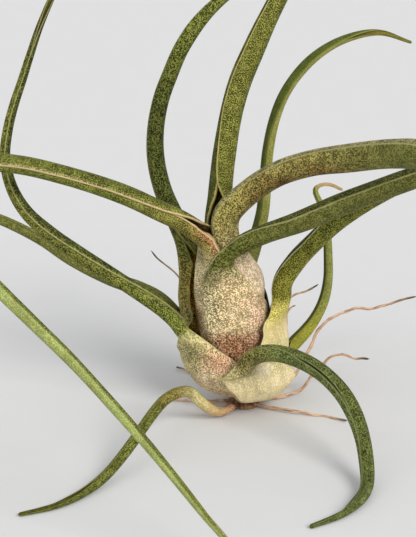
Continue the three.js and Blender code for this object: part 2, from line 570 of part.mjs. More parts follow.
// The short woody stem with its wiry roots, which grew as one piece
function makeStem() {
  let solid = toSolid(stemGeometry());
  for (const root of ROOTS) solid = solid.add(toSolid(rootGeometry(root)));
  const { vertProperties, triVerts } = solid.getMesh();
  const geometry = new THREE.BufferGeometry();
  geometry.setAttribute('position', new THREE.BufferAttribute(vertProperties, 3));
  geometry.setIndex(new THREE.BufferAttribute(triVerts, 1));
  geometry.computeVertexNormals();
  const mesh = new THREE.Mesh(geometry, plantMaterial(0x6b4a32));
  mesh.name = 'stem_with_roots';
  return mesh;
}

const wasm = await Module();
wasm.setup();
const plant = new THREE.Group();
const bulb = new BulbSurface();
plant.add(makeStem());
for (const leaf of LEAVES) plant.add(makeLeaf(leaf, bulb));

export default plant;
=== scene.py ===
# A small air plant: a false bulb of overlapping leaf sheaths, long rolled leaf blades and wiry roots.
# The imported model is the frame. Each leaf is drawn again here along the same guide lines, finer and with its
# markings.
import math

import bpy
import numpy as np
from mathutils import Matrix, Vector


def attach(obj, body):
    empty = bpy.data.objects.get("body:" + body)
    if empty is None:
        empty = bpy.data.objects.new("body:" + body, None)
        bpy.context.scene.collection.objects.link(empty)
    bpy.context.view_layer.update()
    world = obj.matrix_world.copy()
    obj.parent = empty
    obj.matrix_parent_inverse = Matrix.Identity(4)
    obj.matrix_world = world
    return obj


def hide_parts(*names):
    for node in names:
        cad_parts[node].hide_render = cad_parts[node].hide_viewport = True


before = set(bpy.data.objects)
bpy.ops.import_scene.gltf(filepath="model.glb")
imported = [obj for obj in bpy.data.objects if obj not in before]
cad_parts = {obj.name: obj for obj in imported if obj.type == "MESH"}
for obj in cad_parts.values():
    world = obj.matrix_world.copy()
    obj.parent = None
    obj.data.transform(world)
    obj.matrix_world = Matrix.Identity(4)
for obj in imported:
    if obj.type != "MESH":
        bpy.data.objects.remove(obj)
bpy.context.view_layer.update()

# Driving dimensions in millimetres, degrees or shares, as in the CAD source
MM = 0.001
BULB_LEAN = -0.12
BOWL_HEIGHT = 15
SHEATH_THICKNESS = 0.9
SHEATH_EDGE = 0.65
SHEATH_GAP = 0.45
ROLLING_GAP = 0.5
OVERLAP = 0.07
SOLID_HALF_ANGLE = 85
CANAL_SHARE = 0.46
SOLID_TIP_SHARE = 0.3
ROOT_TIP_SHARE = 0.55
FLOOR_GAP = 0.02
STEM_OUTLINE = [[4.2, 0], [4.2, 0.8], [3, 1.5], [2.6, 3], [1.5, 8], [0.8, 13]]

# Fineness of the drawn surfaces
ACROSS = 45
SHEATH_STEP = 0.8
ROLL_STEP = 0.6
BLADE_STEP = 1.1
ROOT_STEP = 0.5
ROOT_SIDES = 12
STEM_ROWS = 70
STEM_SIDES = 72
FLOOR_SIDES = 64

# Fine forms of the drawn surfaces, in millimetres or as shares. A leaf counts as part of the bulb up to
# ROLLED, a share of its rolling, and it lets go of the bulb over the last share of it, RELEASE.
MARGIN_WIDTH = 0.24
MARGIN_THINNING = 0.62
RIM_WIDTH = 0.5
RIM_ROUNDING = 0.45
RIM_INSIDE = 0.3
FRINGE_WIDTH = 1.6
TIP_REACH = 1.2
BLADE_UNEVENNESS = 0.035
BLADE_WAVE = 17
CONTACT_SOFTNESS = 0.25
RELEASE = 0.2
ROLLED = 0.95
FACE_APART = 40
LEAF_APART = 7.3
ROOT_SWAY = 0.22
ROOT_WAVE = 6
ROOT_KNOBS = 0.14
ROOT_ROUNDED = 0.03
STEM_END = 0.05
LEAF_BUMP = 0.05
ROOT_BUMP = 0.2
STEM_BUMP = 0.4
FLOOR_BUMP = 0.1
FLOOR_RADIUS = 4000
FLOOR_DROP = 0.05

# The camera, in metres and degrees
CAMERA_PLACE = (-0.0091, -0.3748, 0.1441)
CAMERA_TILT = 74
CAMERA_LENS = 103.1

# A pale sky and two wide lamps, each with its direction, strength, width in degrees and colour
SKY_COLOUR = (0.97, 0.98, 1.0, 1)
SKY_STRENGTH = 0.66
LAMPS = {
    "key": ((0.5, -0.75, 0.6), 2.55, 28, (1, 0.985, 0.96)),
    "fill": ((-0.6, -0.6, 0.5), 0.65, 60, (1, 1, 1)),
}

# Each leaf, from the innermost to the outermost.
# sheath: midrib points as (bearing, distance from the bulb's axis, height).
# blade: points on the blade's axis.
# rising, falling: degrees that the leaf reaches round towards rising and towards falling bearings, each
# with its place: -1 at the foot, 0 at the sheath's top, 1 at the tip. Without falling, it is as rising.
# pouch: the sheath's own radius as a share of its distance from the bulb's axis.
# roll: millimetres over which the sheath rolls up into the blade.
# radii: the blade's radius at even steps, from the end of the rolling to the tip.
# twist: turn of the groove in degrees, with its place: 0 at the sheath's top, 1 at the tip.
LEAVES = {
    "leaf_01_centre": {
        "sheath": [[90, 2.2, 13.5], [90, 4.6, 17], [90, 5.6, 23], [90, 5.4, 30], [90, 4.7, 35]],
        "blade": [[-5.9, 3.2, 41.5], [-6.6, 1.6, 48], [-6.2, 0, 54.5], [-5.8, -1, 60], [-4.95, -2, 67.6],
                  [-3.25, -3, 77.8], [-1.2, -4, 85.3], [1.5, -5, 92], [5.5, -6, 101], [11.4, -6, 112],
                  [19, -4, 122], [28, 0, 129]],
        "rising": [[-1, 150], [-0.5, 130], [0, 100], [0.08, 102], [0.12, 112], [0.15, 125], [0.18, 145],
                   [0.21, 165], [0.24, 183]],
        "falling": [[-1, 150], [-0.5, 130], [0, 100], [0.08, 100], [0.12, 106], [0.15, 117], [0.18, 131],
                    [0.21, 146], [0.226, 164], [0.244, 183]],
        "pouch": 0.95, "roll": 22, "radii": [3.1, 2.8, 2.78, 2.3, 1.4, 0.45],
        "twist": [[0, 0], [0.2, -15], [0.3, -36], [0.42, -54], [1, -58]],
    },
    "leaf_02_top_right": {
        "sheath": [[-30, 3, 11], [-30, 6.6, 15], [-28, 7.9, 22], [-28, 8.8, 29], [-30, 9.2, 34.5]],
        "blade": [[-0.1, -5.5, 40.5], [-4.5, -5.6, 46], [-4.6, -6, 51.8], [0.3, -8.6, 58], [7.1, -14, 64],
                  [14.4, -21, 68.2], [23.1, -32, 71.95], [30.8, -44, 75.4], [37, -54, 77.2], [45, -66, 77],
                  [52, -77, 71], [56, -86, 64]],
        "rising": [[-1, 140], [-0.5, 108], [0, 66], [0.05, 62], [0.09, 112], [0.12, 165], [0.14, 183]],
        "falling": [[-1, 140], [-0.5, 112], [0, 80], [0.05, 88], [0.09, 130], [0.12, 168], [0.14, 183]],
        "pouch": 0.97, "roll": 16, "radii": [3.5, 3.0, 3.3, 3.3, 1.9, 0.45],
        "twist": [[0, 30], [0.1, 55], [0.15, 68], [0.25, 62], [0.43, 40], [1, 35]],
    },
    "leaf_03_left": {
        "sheath": [[-168, 3.4, 9.8], [-168, 7.6, 14], [-168, 9.1, 22], [-166, 9.2, 29], [-163, 8.4, 34.5]],
        "blade": [[-10.6, -4.8, 41], [-10.1, -5.9, 45.6], [-12.7, -7.3, 48.9], [-16, -7.9, 51.2],
                  [-20.8, -9, 53.8], [-28.1, -10, 57.6], [-35.3, -11, 60.6], [-44.7, -13, 64],
                  [-53, -15.5, 66.6], [-61, -20, 68.4], [-67, -31, 69.2], [-68, -46, 67.4],
                  [-64, -60, 63.6], [-57.5, -72, 59], [-50.4, -80, 54.6], [-43, -85, 49],
                  [-35.7, -89, 43], [-28.2, -92, 35.5], [-21, -94, 27.5], [-14.2, -95, 19],
                  [-7.8, -95, 10.5], [-2, -94, 3.6], [5, -92, 0.5]],
        "rising": [[-1, 150], [-0.5, 120], [0, 92], [0.02, 100], [0.04, 120], [0.055, 140], [0.07, 160],
                   [0.1, 183]],
        "falling": [[-1, 150], [-0.5, 120], [0, 88], [0.03, 92], [0.05, 106], [0.07, 148], [0.09, 172],
                    [0.11, 183]],
        "pouch": 0.97, "roll": 17, "radii": [2.6, 2.4, 2.3, 1.95, 1.65, 1.35, 1.15, 0.9, 0.5],
        "twist": [[0, -20], [0.08, -47], [0.15, -79], [0.25, -88], [1, -80]],
    },
    "leaf_04_front": {
        "sheath": [[-85, 4, 8.9], [-85, 8, 12.9], [-85, 9.4, 20], [-92, 9.3, 27], [-104, 8.6, 33]],
        "blade": [[-5.7, -9.7, 38.5], [-4.8, -11.2, 43], [-1.1, -13.4, 46.5], [4.2, -16.2, 49.8],
                  [12.7, -21, 54.2], [22.7, -27, 60.2], [30.2, -32, 64.5], [37.6, -37, 68.6], [47, -43, 73.5],
                  [57, -48, 79], [66, -51, 86], [73, -52, 95], [77, -51, 105]],
        "rising": [[-1, 130], [-0.5, 118], [-0.15, 79], [0, 56], [0.03, 45], [0.06, 50], [0.085, 105],
                   [0.11, 150], [0.14, 183]],
        "falling": [[-1, 85], [-0.75, 66], [-0.5, 56], [-0.28, 43], [-0.15, 35], [0, 25], [0.03, 30],
                    [0.05, 46], [0.08, 94], [0.1, 135], [0.13, 165], [0.16, 183]],
        "pouch": 0.97, "roll": 14, "radii": [2.25, 2.65, 2.65, 2.2, 1.4, 0.45],
        "twist": [[0, 60], [0.1, 84], [0.15, 106], [0.25, 130], [0.36, 134], [1, 134]],
    },
    "leaf_05_back_right": {
        "sheath": [[62, 4.4, 7.5], [62, 8.6, 12], [62, 10.2, 18], [62, 10.4, 25]],
        "blade": [[1.2, 9.6, 34], [2.6, 10.6, 39], [3.9, 11.2, 43.4], [5.1, 12, 49], [5.7, 13, 56.7],
                  [6.3, 13, 64.5], [7.8, 13, 72.3], [10.2, 13, 78.8], [14.2, 14, 84.6], [19.1, 15.5, 89],
                  [26, 19, 92.2], [35, 24, 93.2], [44, 29, 90]],
        "rising": [[-1, 110], [-0.5, 80], [0, 44], [0.025, 55], [0.05, 90], [0.076, 147], [0.1, 183]],
        "pouch": 0.95, "roll": 10, "radii": [2.2, 1.6, 1.4, 1.35, 1.0, 0.4],
        "twist": [[0, 0], [0.2, 19], [0.43, 24], [0.55, 56], [1, 45]],
    },
    "leaf_06_back_left": {
        "sheath": [[160, 4.6, 6.6], [160, 9, 10.5], [160, 11.6, 14.5], [160, 12.7, 19]],
        "blade": [[-14.9, 6.8, 27], [-13.9, 7.8, 33], [-14.4, 8, 39.3], [-17.1, 8, 46.8], [-20.6, 7, 55.4],
                  [-22.3, 7, 63.2], [-22.3, 6, 71.1], [-20.9, 6, 78.7], [-18.6, 5, 85.1], [-15.5, 5.5, 92],
                  [-10.5, 7, 99], [-3.5, 9.5, 105], [5, 13, 109], [14, 17, 109.5]],
        "rising": [[-1, 112], [-0.5, 86], [0, 42], [0.03, 52], [0.06, 92], [0.09, 134], [0.12, 150],
                   [0.155, 163], [0.19, 174], [0.23, 183]],
        "falling": [[-1, 112], [-0.5, 90], [0, 56], [0.057, 68], [0.114, 102], [0.17, 153], [0.227, 183]],
        "pouch": 0.9, "roll": 26, "radii": [2.5, 2.3, 2.1, 1.95, 1.3, 0.45],
        "twist": [[0, 0], [0.1, -31], [0.2, -64], [0.3, -115], [0.55, -132], [1, -132]],
    },
    "leaf_07_right": {
        "sheath": [[12, 5, 5.5], [10, 9.8, 9], [6, 12.8, 13], [0, 13.8, 18], [-5, 13.8, 23]],
        "blade": [[9.5, -4, 33.5], [12.75, -5, 39.8], [17.1, -7, 45.4], [22, -9, 50.9], [28.6, -12, 56.5],
                  [36.5, -15.5, 62.1], [46, -19, 67.7], [56, -21, 73.2], [66, -20, 77.5], [75, -16, 80],
                  [82, -9, 81]],
        "rising": [[-1, 100], [-0.5, 84], [0, 50], [0.03, 56], [0.05, 80], [0.07, 120], [0.088, 160],
                   [0.105, 183]],
        "falling": [[-1, 104], [-0.75, 102], [-0.5, 92], [-0.25, 72], [0, 53], [0.021, 62], [0.042, 94],
                    [0.063, 145], [0.085, 183]],
        "pouch": 0.88, "roll": 9, "radii": [2.6, 2.45, 2.3, 2.1, 1.4, 0.45],
        "twist": [[0, 25], [0.1, 25], [0.22, 38], [0.35, 18], [1, 18]],
    },
    "leaf_08_far_left": {
        "sheath": [[148, 5.2, 4.7], [148, 10.4, 7.6], [150, 12.6, 12], [154, 13, 16.5]],
        "blade": [[-21, 9.2, 24.8], [-27, 11.8, 27.6], [-34.5, 13.6, 29.8], [-45.6, 17, 34.5],
                  [-53.6, 19, 39.3], [-64.2, 21, 44.1], [-74, 22, 47], [-84, 21, 46.5], [-93, 17, 43],
                  [-99, 11, 38]],
        "rising": [[-1, 90], [-0.5, 72], [0, 52], [0.02, 64], [0.04, 100], [0.06, 152], [0.08, 183]],
        "pouch": 0.88, "roll": 8, "radii": [2.1, 1.85, 1.45, 1.1, 0.4],
        "twist": [[0, 0], [0.3, -20], [1, -20]],
    },
    "leaf_09_lower_left": {
        "sheath": [[-152, 5.3, 3.9], [-152, 10.4, 6.9], [-151, 13.3, 10.5], [-149, 13.4, 14.5]],
        "blade": [[-14.6, -8.5, 20.6], [-16.6, -8.9, 24.6], [-19.8, -9, 28], [-25.6, -9, 32.4],
                  [-33.4, -9, 37.8], [-40.9, -9, 42.9], [-48.1, -8, 47.9], [-53.8, -7, 53],
                  [-57.4, -5.5, 58.9], [-59, -4, 66], [-58.2, -3, 72.8], [-56.6, -2, 78.8],
                  [-54.5, -1, 84.8], [-52.4, 0, 91], [-49.5, 2, 99], [-45, 5, 108], [-38, 9, 116]],
        "rising": [[-1, 92], [-0.667, 90], [-0.333, 82], [-0.1, 70], [0, 64], [0.03, 88], [0.046, 126],
                   [0.06, 155], [0.075, 174], [0.09, 183]],
        "falling": [[-1, 90], [-0.5, 76], [0, 28], [0.03, 28], [0.045, 38], [0.06, 76], [0.075, 140],
                    [0.095, 183]],
        "pouch": 0.86, "roll": 10, "radii": [1.95, 1.9, 1.9, 1.4, 1.1, 0.85, 0.4],
        "twist": [[0, -20], [0.16, -44], [0.25, -80], [0.4, -100], [1, -95]],
    },
    "leaf_10_curled_right": {
        "sheath": [[38, 5.6, 3.6], [38, 10.6, 5.4], [38, 12.9, 8]],
        "blade": [[13.4, 11, 12.6], [16.6, 13, 15.4], [19.4, 15, 18.6], [21.75, 17, 23], [22.8, 18, 28.3],
                  [22.8, 19, 34.9], [22.5, 20, 40.2], [21.8, 20, 45.4], [20.4, 21, 49], [19.35, 23, 51.4],
                  [20.8, 26, 52.4], [23.8, 28, 52], [26.7, 27.4, 50.8]],
        "rising": [[-1, 80], [0, 42], [0.028, 53], [0.056, 88], [0.084, 146], [0.11, 183]],
        "pouch": 0.8, "roll": 7, "radii": [1.9, 1.5, 1.25, 1.1, 0.75, 0.4],
        "twist": [[0, 20], [1, 25]],
    },
    "leaf_11_lower_front": {
        "sheath": [[-66, 5.4, 2.4], [-66, 11.2, 4.8], [-67, 13.8, 8], [-70, 14.2, 11.5]],
        "blade": [[0.8, -16.8, 17.2], [2.8, -19.2, 20], [5.6, -21.3, 21.4], [9.3, -24, 21.9], [14, -28, 21.4],
                  [18.5, -33, 19.9], [22.4, -38, 17], [24.9, -42, 13.3], [26.5, -46, 8.9], [27.1, -50.5, 4.2],
                  [26.6, -56, 1.9], [24.2, -62.5, 1.1], [19.5, -69, 0.7], [13, -74, 0.5]],
        "rising": [[-1, 100], [-0.5, 84], [0, 60], [0.022, 68], [0.045, 88], [0.067, 140], [0.09, 183],
                   [0.24, 183], [0.3, 171], [0.42, 171], [0.54, 183]],
        "falling": [[-1, 34], [-0.7, 30], [-0.42, 36], [-0.18, 42], [0, 44], [0.015, 50], [0.035, 90],
                    [0.05, 130], [0.065, 160], [0.08, 183], [0.24, 183], [0.3, 171], [0.42, 171],
                    [0.54, 183]],
        "pouch": 0.86, "roll": 8, "radii": [2.15, 2.1, 2.05, 1.75, 1.3, 0.5],
        "twist": [[0, 40], [0.24, 50], [0.3, 64], [0.42, 66], [0.57, 75], [0.65, 88], [1, 90]],
    },
    "leaf_12_low_left": {
        "sheath": [],
        "blade": [[-2.8, -4.4, 1.1], [-3.9, -6.4, 1.2], [-5.7, -9.1, 1.4], [-8, -11.6, 2.8],
                  [-10.6, -14, 5.6], [-13.6, -17, 9.6], [-16.4, -21, 11], [-19.5, -26, 11],
                  [-22.4, -32, 9.6], [-25.1, -37, 7.2], [-28.4, -43, 4.4], [-32.6, -51, 2],
                  [-37, -58, 1.1], [-42.5, -64, 0.7], [-50, -68, 0.5]],
        "rising": [[0, 183], [1, 183]],
        "pouch": 1, "roll": 0, "radii": [1, 1.4, 1.35, 1.3, 1.3, 1.2, 0.9, 0.45],
        "twist": [[0, 0], [1, 5]],
    },
}

# Wiry roots, as points on their middle line, each with its radius at the stem
ROOTS = [
    (0.45, [[1.2, 3.2, 1], [4, 9, 1], [8.5, 14.5, 4], [11.5, 16.5, 11], [12, 16.5, 17], [11.8, 16, 22],
            [13.9, 18, 24.1], [16.6, 19, 24.7], [20.6, 21, 26.3]]),
    (0.4, [[11.8, 16.4, 14.5], [11.4, 14.4, 19.3], [13, 14, 21.8], [14.2, 14, 22.4]]),
    (0.36, [[-1, 3.5, 1], [-2.5, 10, 0.8], [-7, 17.5, 3], [-12, 18.5, 10], [-14.8, 17, 18], [-15.8, 15, 26],
            [-16.7, 14, 30.3], [-20.4, 15, 33.3], [-24.3, 16, 36.8]]),
    (0.55, [[2, 2, 1], [7, 7.5, 0.8], [12, 13, 1], [17, 20, 5], [22, 25, 13], [30, 30, 16.1],
            [38.7, 33, 16.1], [49, 35, 18.6]]),
    (0.5, [[3, 1, 1], [9, 3, 0.8], [15, 6.5, 1.4], [19.5, 8, 6], [24.6, 8.6, 10.6], [29.6, 8, 9.8],
           [33.3, 6, 10.3]]),
    (0.5, [[-2, 2.5, 1], [-5, 9, 0.7], [-9, 16, 1.2], [-12, 21, 0.6], [-18, 27, 0.4]]),
    (0.45, [[0, 3, 1], [1, 10, 0.7], [2, 17, 1.5], [-1, 23, 0.6], [0, 31, 0.4]]),
    (0.45, [[2.5, -2, 0.9], [8, -5, 0.7], [14, -8, 0.8], [20, -9, 0.5], [26, -13, 0.4]]),
    (0.4, [[-3, 0, 0.9], [-9, 0.6, 0.7], [-15, 1, 0.6], [-22, 3, 0.4]]),
]


# Camera

def add_object(name, data):
    made = bpy.data.objects.new(name, data)
    bpy.context.collection.objects.link(made)
    return made


def place_camera():
    data = bpy.data.cameras.new("camera")
    data.sensor_width = 36
    data.lens = CAMERA_LENS
    data.clip_start = 0.01
    data.clip_end = 50
    camera = add_object("camera", data)
    camera.location = CAMERA_PLACE
    camera.rotation_euler = (math.radians(CAMERA_TILT), 0, 0)
    bpy.context.scene.camera = camera


# Small maths

def mix(a, b, t):
    return a + (b - a) * t


def smooth(t):
    t = np.clip(t, 0.0, 1.0)
    return t * t * (3 - 2 * t)


def unit(v):
    return v / np.linalg.norm(v, axis=-1, keepdims=True)


def column(values):
    return values[:, None]


def along(values, t):
    """Reads a list of values at even steps, with a smooth passage between them"""
    values = np.asarray(values, float)
    place = np.clip(t, 0, 0.99999) * (len(values) - 1)
    i = place.astype(int)
    rest = place - i
    return mix(values[i], values[i + 1], smooth(rest) * 0.5 + rest * 0.5)


def eased(values):
    """The values, each averaged a few times with its neighbours"""
    for _ in range(4):
        values = np.concatenate([values[:1], (values[:-2] + 2 * values[1:-1] + values[2:]) / 4, values[-1:]])
    return values


def axis_points(z):
    return np.stack([BULB_LEAN * z, np.zeros_like(z), z], axis=-1)


def waves(p, seed, size):
    """A smooth, repeatable unevenness between about -1 and 1 at points p, with bumps of about this size"""
    rng = np.random.default_rng(seed)
    total = np.zeros(p.shape[:-1])
    for _ in range(7):
        direction = unit(rng.normal(size=3))
        total += np.sin(p @ direction * (2 * math.pi / size) * rng.uniform(0.6, 1.5) + rng.uniform(0, 6.3))
    return total / 3.5


class Line:
    """A centripetal Catmull-Rom line through points, read by distance along it"""

    def __init__(self, points, count=4000):
        points = np.asarray(points, float)
        p = np.vstack([2 * points[0] - points[1], points, 2 * points[-1] - points[-2]])
        pieces = len(points) - 1
        place = np.linspace(0, pieces, count + 1)
        i = np.minimum(place.astype(int), pieces - 1)
        w = (place - i)[:, None]
        a, b, c, d = p[i], p[i + 1], p[i + 2], p[i + 3]
        ab, bc, cd = [np.sum((r - q) ** 2, axis=1)[:, None] ** 0.25 for q, r in ((a, b), (b, c), (c, d))]
        start = ((b - a) / ab - (c - a) / (ab + bc) + (c - b) / bc) * bc
        end = ((c - b) / bc - (d - b) / (bc + cd) + (d - c) / cd) * bc
        second = -3 * b + 3 * c - 2 * start - end
        third = 2 * b - 2 * c + start + end
        self.points = b + start * w + second * w ** 2 + third * w ** 3
        self.slopes = unit(start + 2 * second * w + 3 * third * w ** 2)
        steps = np.linalg.norm(np.diff(self.points, axis=0), axis=1)
        self.reach = np.concatenate([[0], np.cumsum(steps)])
        self.length = self.reach[-1]

    def distance_at(self, share):
        return self.reach[round(share * (len(self.reach) - 1))]

    def read(self, s):
        point = np.stack([np.interp(s, self.reach, self.points[:, k]) for k in range(3)], axis=-1)
        slope = np.stack([np.interp(s, self.reach, self.slopes[:, k]) for k in range(3)], axis=-1)
        return point, unit(slope)


# The bulb's surface as it grows, on a grid of bearings and heights

TURN_CELLS = 180
ROW_CELLS = 140
ROW_HEIGHT = 0.45
WIDEN_TURNS = 12
WIDEN_ROWS = 2
EVEN_TURNS = 4
EVEN_ROWS = 1
EVEN_ROUNDS = 2


class BulbSurface:
    """How far the sheaths that are already there reach from the bulb's axis"""

    def __init__(self):
        self.raw = np.zeros((ROW_CELLS, TURN_CELLS))
        self.eased = self.raw

    def place(self, p):
        """Row and bearing cell of each point, its distance from the axis and its direction from there"""
        z = np.maximum(p[..., 2], BOWL_HEIGHT)
        away = p - axis_points(z)
        flat = np.hypot(away[..., 0], away[..., 1])
        bowl = BOWL_HEIGHT * (1 + np.arctan2(away[..., 2], flat) / (math.pi / 2))
        row = np.where(p[..., 2] >= BOWL_HEIGHT, p[..., 2], bowl) / ROW_HEIGHT
        turn = (np.arctan2(away[..., 1], away[..., 0]) / (2 * math.pi) % 1) * TURN_CELLS
        distance = np.linalg.norm(away, axis=-1)
        return row, turn, distance, away / distance[..., None]

    def mark(self, p):
        """Keeps the farthest of these points in every cell"""
        row, turn, distance, _ = self.place(p)
        r = np.round(row).astype(int).ravel()
        c = np.round(turn).astype(int).ravel() % TURN_CELLS
        keep = (r >= 0) & (r < ROW_CELLS)
        np.maximum.at(self.raw, (r[keep], c[keep]), distance.ravel()[keep])

    def ease(self):
        """Widens every high place and then averages over a smaller window"""
        def shifted(grid, rows, turns):
            r = np.clip(np.arange(ROW_CELLS) + rows, 0, ROW_CELLS - 1)
            return np.roll(grid[r], -turns, axis=1)

        widened = self.raw
        for step in range(-WIDEN_TURNS, WIDEN_TURNS + 1):
            widened = np.maximum(widened, shifted(self.raw, 0, step))
        tall = widened
        for step in range(-WIDEN_ROWS, WIDEN_ROWS + 1):
            tall = np.maximum(tall, shifted(widened, step, 0))
        even = tall
        turn_steps = range(-EVEN_TURNS, EVEN_TURNS + 1)
        row_steps = range(-EVEN_ROWS, EVEN_ROWS + 1)
        for _ in range(EVEN_ROUNDS):
            even = sum(shifted(even, 0, step) for step in turn_steps) / len(turn_steps)
            even = sum(shifted(even, step, 0) for step in row_steps) / len(row_steps)
        self.eased = even

    def shortfall(self, p, room):
        """How far each point lacks this room outside the bulb, and the direction that gives it"""
        row, turn, distance, direction = self.place(p)
        r = np.clip(row, 0, ROW_CELLS - 1.001)
        r0 = r.astype(int)
        c0 = turn.astype(int) % TURN_CELLS
        c1 = (c0 + 1) % TURN_CELLS
        u = turn - np.floor(turn)
        near = mix(self.eased[r0, c0], self.eased[r0, c1], u)
        far = mix(self.eased[r0 + 1, c0], self.eased[r0 + 1, c1], u)
        return mix(near, far, r - r0) + room - distance, direction


# Leaves

def turned_with(vector, a, b):
    """vector, turned as the unit vector a turns into b"""
    cross = np.cross(a, b)
    return vector + np.cross(cross, vector) + np.cross(cross, np.cross(cross, vector)) / (1 + a @ b)


def guide_line(leaf):
    """The line along the leaf, and the distance along it at which the sheath ends"""
    sheath = []
    for bearing, radius, z in leaf["sheath"]:
        turn = math.radians(bearing)
        sheath.append([BULB_LEAN * z + radius * math.cos(turn), radius * math.sin(turn), z])
    line = Line(sheath + leaf["blade"])
    share = max(0, len(sheath) - 1) / (len(sheath) + len(leaf["blade"]) - 1)
    return line, line.distance_at(share)


def stations(line, sheath_end, roll):
    """Distances along the leaf at which its sections stand"""
    rolled_at = sheath_end + roll
    runs = [
        (0, sheath_end, SHEATH_STEP),
        (sheath_end, rolled_at, ROLL_STEP),
        (rolled_at, line.length, BLADE_STEP),
    ]
    places = []
    for start, end, step in runs:
        count = round((end - start) / step)
        places.extend(start + (end - start) * i / count for i in range(count))
    places.append(line.length)
    return np.array(places)


def frames(leaf, line, sheath_end, s):
    """Point, inward and sideways directions and the share of rolling at each distance along the leaf"""
    point, tangent = line.read(s)
    from_axis = point - axis_points(point[:, 2])
    from_axis[:, 2] = 0
    has_sheath = bool(leaf["sheath"])
    level = -unit(from_axis) if has_sheath else np.tile([0.0, 0.0, 1.0], (len(s), 1))
    carried = level[0]
    squares = []
    for i in range(len(s)):
        if i:
            carried = level[i] if s[i] <= sheath_end else turned_with(carried, tangent[i - 1], tangent[i])
        squares.append(carried - tangent[i] * (carried @ tangent[i]))
    square = unit(np.array(squares))
    places, turns = zip(*leaf["twist"])
    twist = np.radians(np.interp((s - sheath_end) / (line.length - sheath_end), places, turns))[:, None]
    turned = square * np.cos(twist) + np.cross(tangent, square) * np.sin(twist)
    share = smooth((s - sheath_end) / leaf["roll"]) if has_sheath else np.ones(len(s))
    inward = unit(mix(level, turned, share[:, None]))
    round_bulb = np.stack([-level[:, 1], level[:, 0], np.zeros(len(s))], axis=-1)
    sideways = mix(round_bulb, np.cross(tangent, turned), share[:, None])
    sideways -= inward * np.sum(sideways * inward, axis=1, keepdims=True)
    return point, inward, unit(sideways), share


def leaf_faces(leaf, line, sheath_end, s):
    """Outer and inner rows of points of every section, and what the markings need to know about them"""
    point, inward, sideways, share = frames(leaf, line, sheath_end, s)
    rolled_at = sheath_end + leaf["roll"]
    blade = np.clip((s - rolled_at) / (line.length - rolled_at), 0, 1)
    blade_radius = along(leaf["radii"], blade)
    uneven = waves(point, len(leaf["blade"]), BLADE_WAVE)
    blade_radius = blade_radius * (1 + BLADE_UNEVENNESS * uneven * (1 - blade))
    from_axis = np.hypot(point[:, 0] - BULB_LEAN * point[:, 2], point[:, 1])
    top_radius = leaf["sheath"][-1][1] * leaf["pouch"] if leaf["sheath"] else blade_radius
    rolling = top_radius * (blade_radius / top_radius) ** share
    radius = np.where(share == 0, from_axis * leaf["pouch"], np.where(share == 1, blade_radius, rolling))
    place = np.interp(s, [0, max(sheath_end, 1e-6), line.length], [-1, 0, 1])
    sides = (leaf["rising"], leaf.get("falling", leaf["rising"]))
    wraps = [eased(np.interp(place, *zip(*side))) for side in sides]
    closing = smooth((blade - (1 - SOLID_TIP_SHARE)) / SOLID_TIP_SHARE)
    centre = point + inward * (radius - blade_radius * share)[:, None]
    bowl = axis_points(np.maximum(point[:, 2], BOWL_HEIGHT))
    f = np.linspace(-1, 1, ACROSS)
    wrap = np.where(f[None] < 0, wraps[0][:, None], wraps[1][:, None])

    def at(reach, degrees):
        """Points at this reach from the centre, turned by degrees from the outward direction"""
        turn = np.radians(degrees)[..., None]
        reach = np.broadcast_to(reach, degrees.shape)[..., None]
        depth = inward[:, None] * reach * np.cos(turn)
        return centre[:, None] - depth + sideways[:, None] * reach * np.sin(turn)

    margin = 1 - MARGIN_THINNING * smooth((np.abs(f) - (1 - MARGIN_WIDTH)) / MARGIN_WIDTH)
    sheath_wall = mix(SHEATH_THICKNESS, SHEATH_EDGE, f * f)[None] * margin[None]
    blade_wall = column(blade_radius * (1 - CANAL_SHARE)) * margin[None]
    wall = mix(sheath_wall, blade_wall, column(share))
    open_angle = f[None] * wrap
    # One margin of the rolled blade lies on the other
    lapped = column(radius) * (1 + OVERLAP * (f * np.abs(f) ** 3)[None] * column(share * (1 - closing)))
    outer = at(lapped, mix(open_angle, f[None] * SOLID_HALF_ANGLE, column(closing)))
    face = at(lapped, open_angle)
    to_bowl = unit(bowl[:, None] - face)
    to_middle = at(lapped - 1, open_angle) - face
    to_centre = unit(mix(to_bowl, to_middle, smooth(share * 2)[:, None, None]))
    canal = face + to_centre * wall[..., None]
    solid = at(column(radius), 180 - f[None] * np.full((len(s), 1), SOLID_HALF_ANGLE))
    inner = mix(canal, solid, closing[:, None, None])
    width = np.radians(open_angle) * column(radius)
    return outer, inner, share, blade_radius, width


def clear_of(bulb, outer, inner, share):
    """Moves the faces off the sheaths that lie inside them"""
    hold = (1 - smooth((share - (1 - RELEASE)) / RELEASE))[:, None]
    room = (SHEATH_GAP + ROLLING_GAP * np.sin(math.pi * share))[:, None]
    lack_out, out_direction = bulb.shortfall(outer, room)
    lack_in, in_direction = bulb.shortfall(inner, room)
    worst = np.maximum(lack_out, lack_in)
    direction = np.where((lack_out > lack_in)[..., None], out_direction, in_direction)
    move = direction * (hold * 0.5 * (worst + np.hypot(worst, CONTACT_SOFTNESS)))[..., None]
    return outer + move, inner + move


def lift_off_floor(outer, inner):
    lowest = np.minimum(outer[..., 2].min(axis=1), inner[..., 2].min(axis=1))
    lift = np.maximum(0, FLOOR_GAP - lowest)
    outer[..., 2] += lift[:, None]
    inner[..., 2] += lift[:, None]


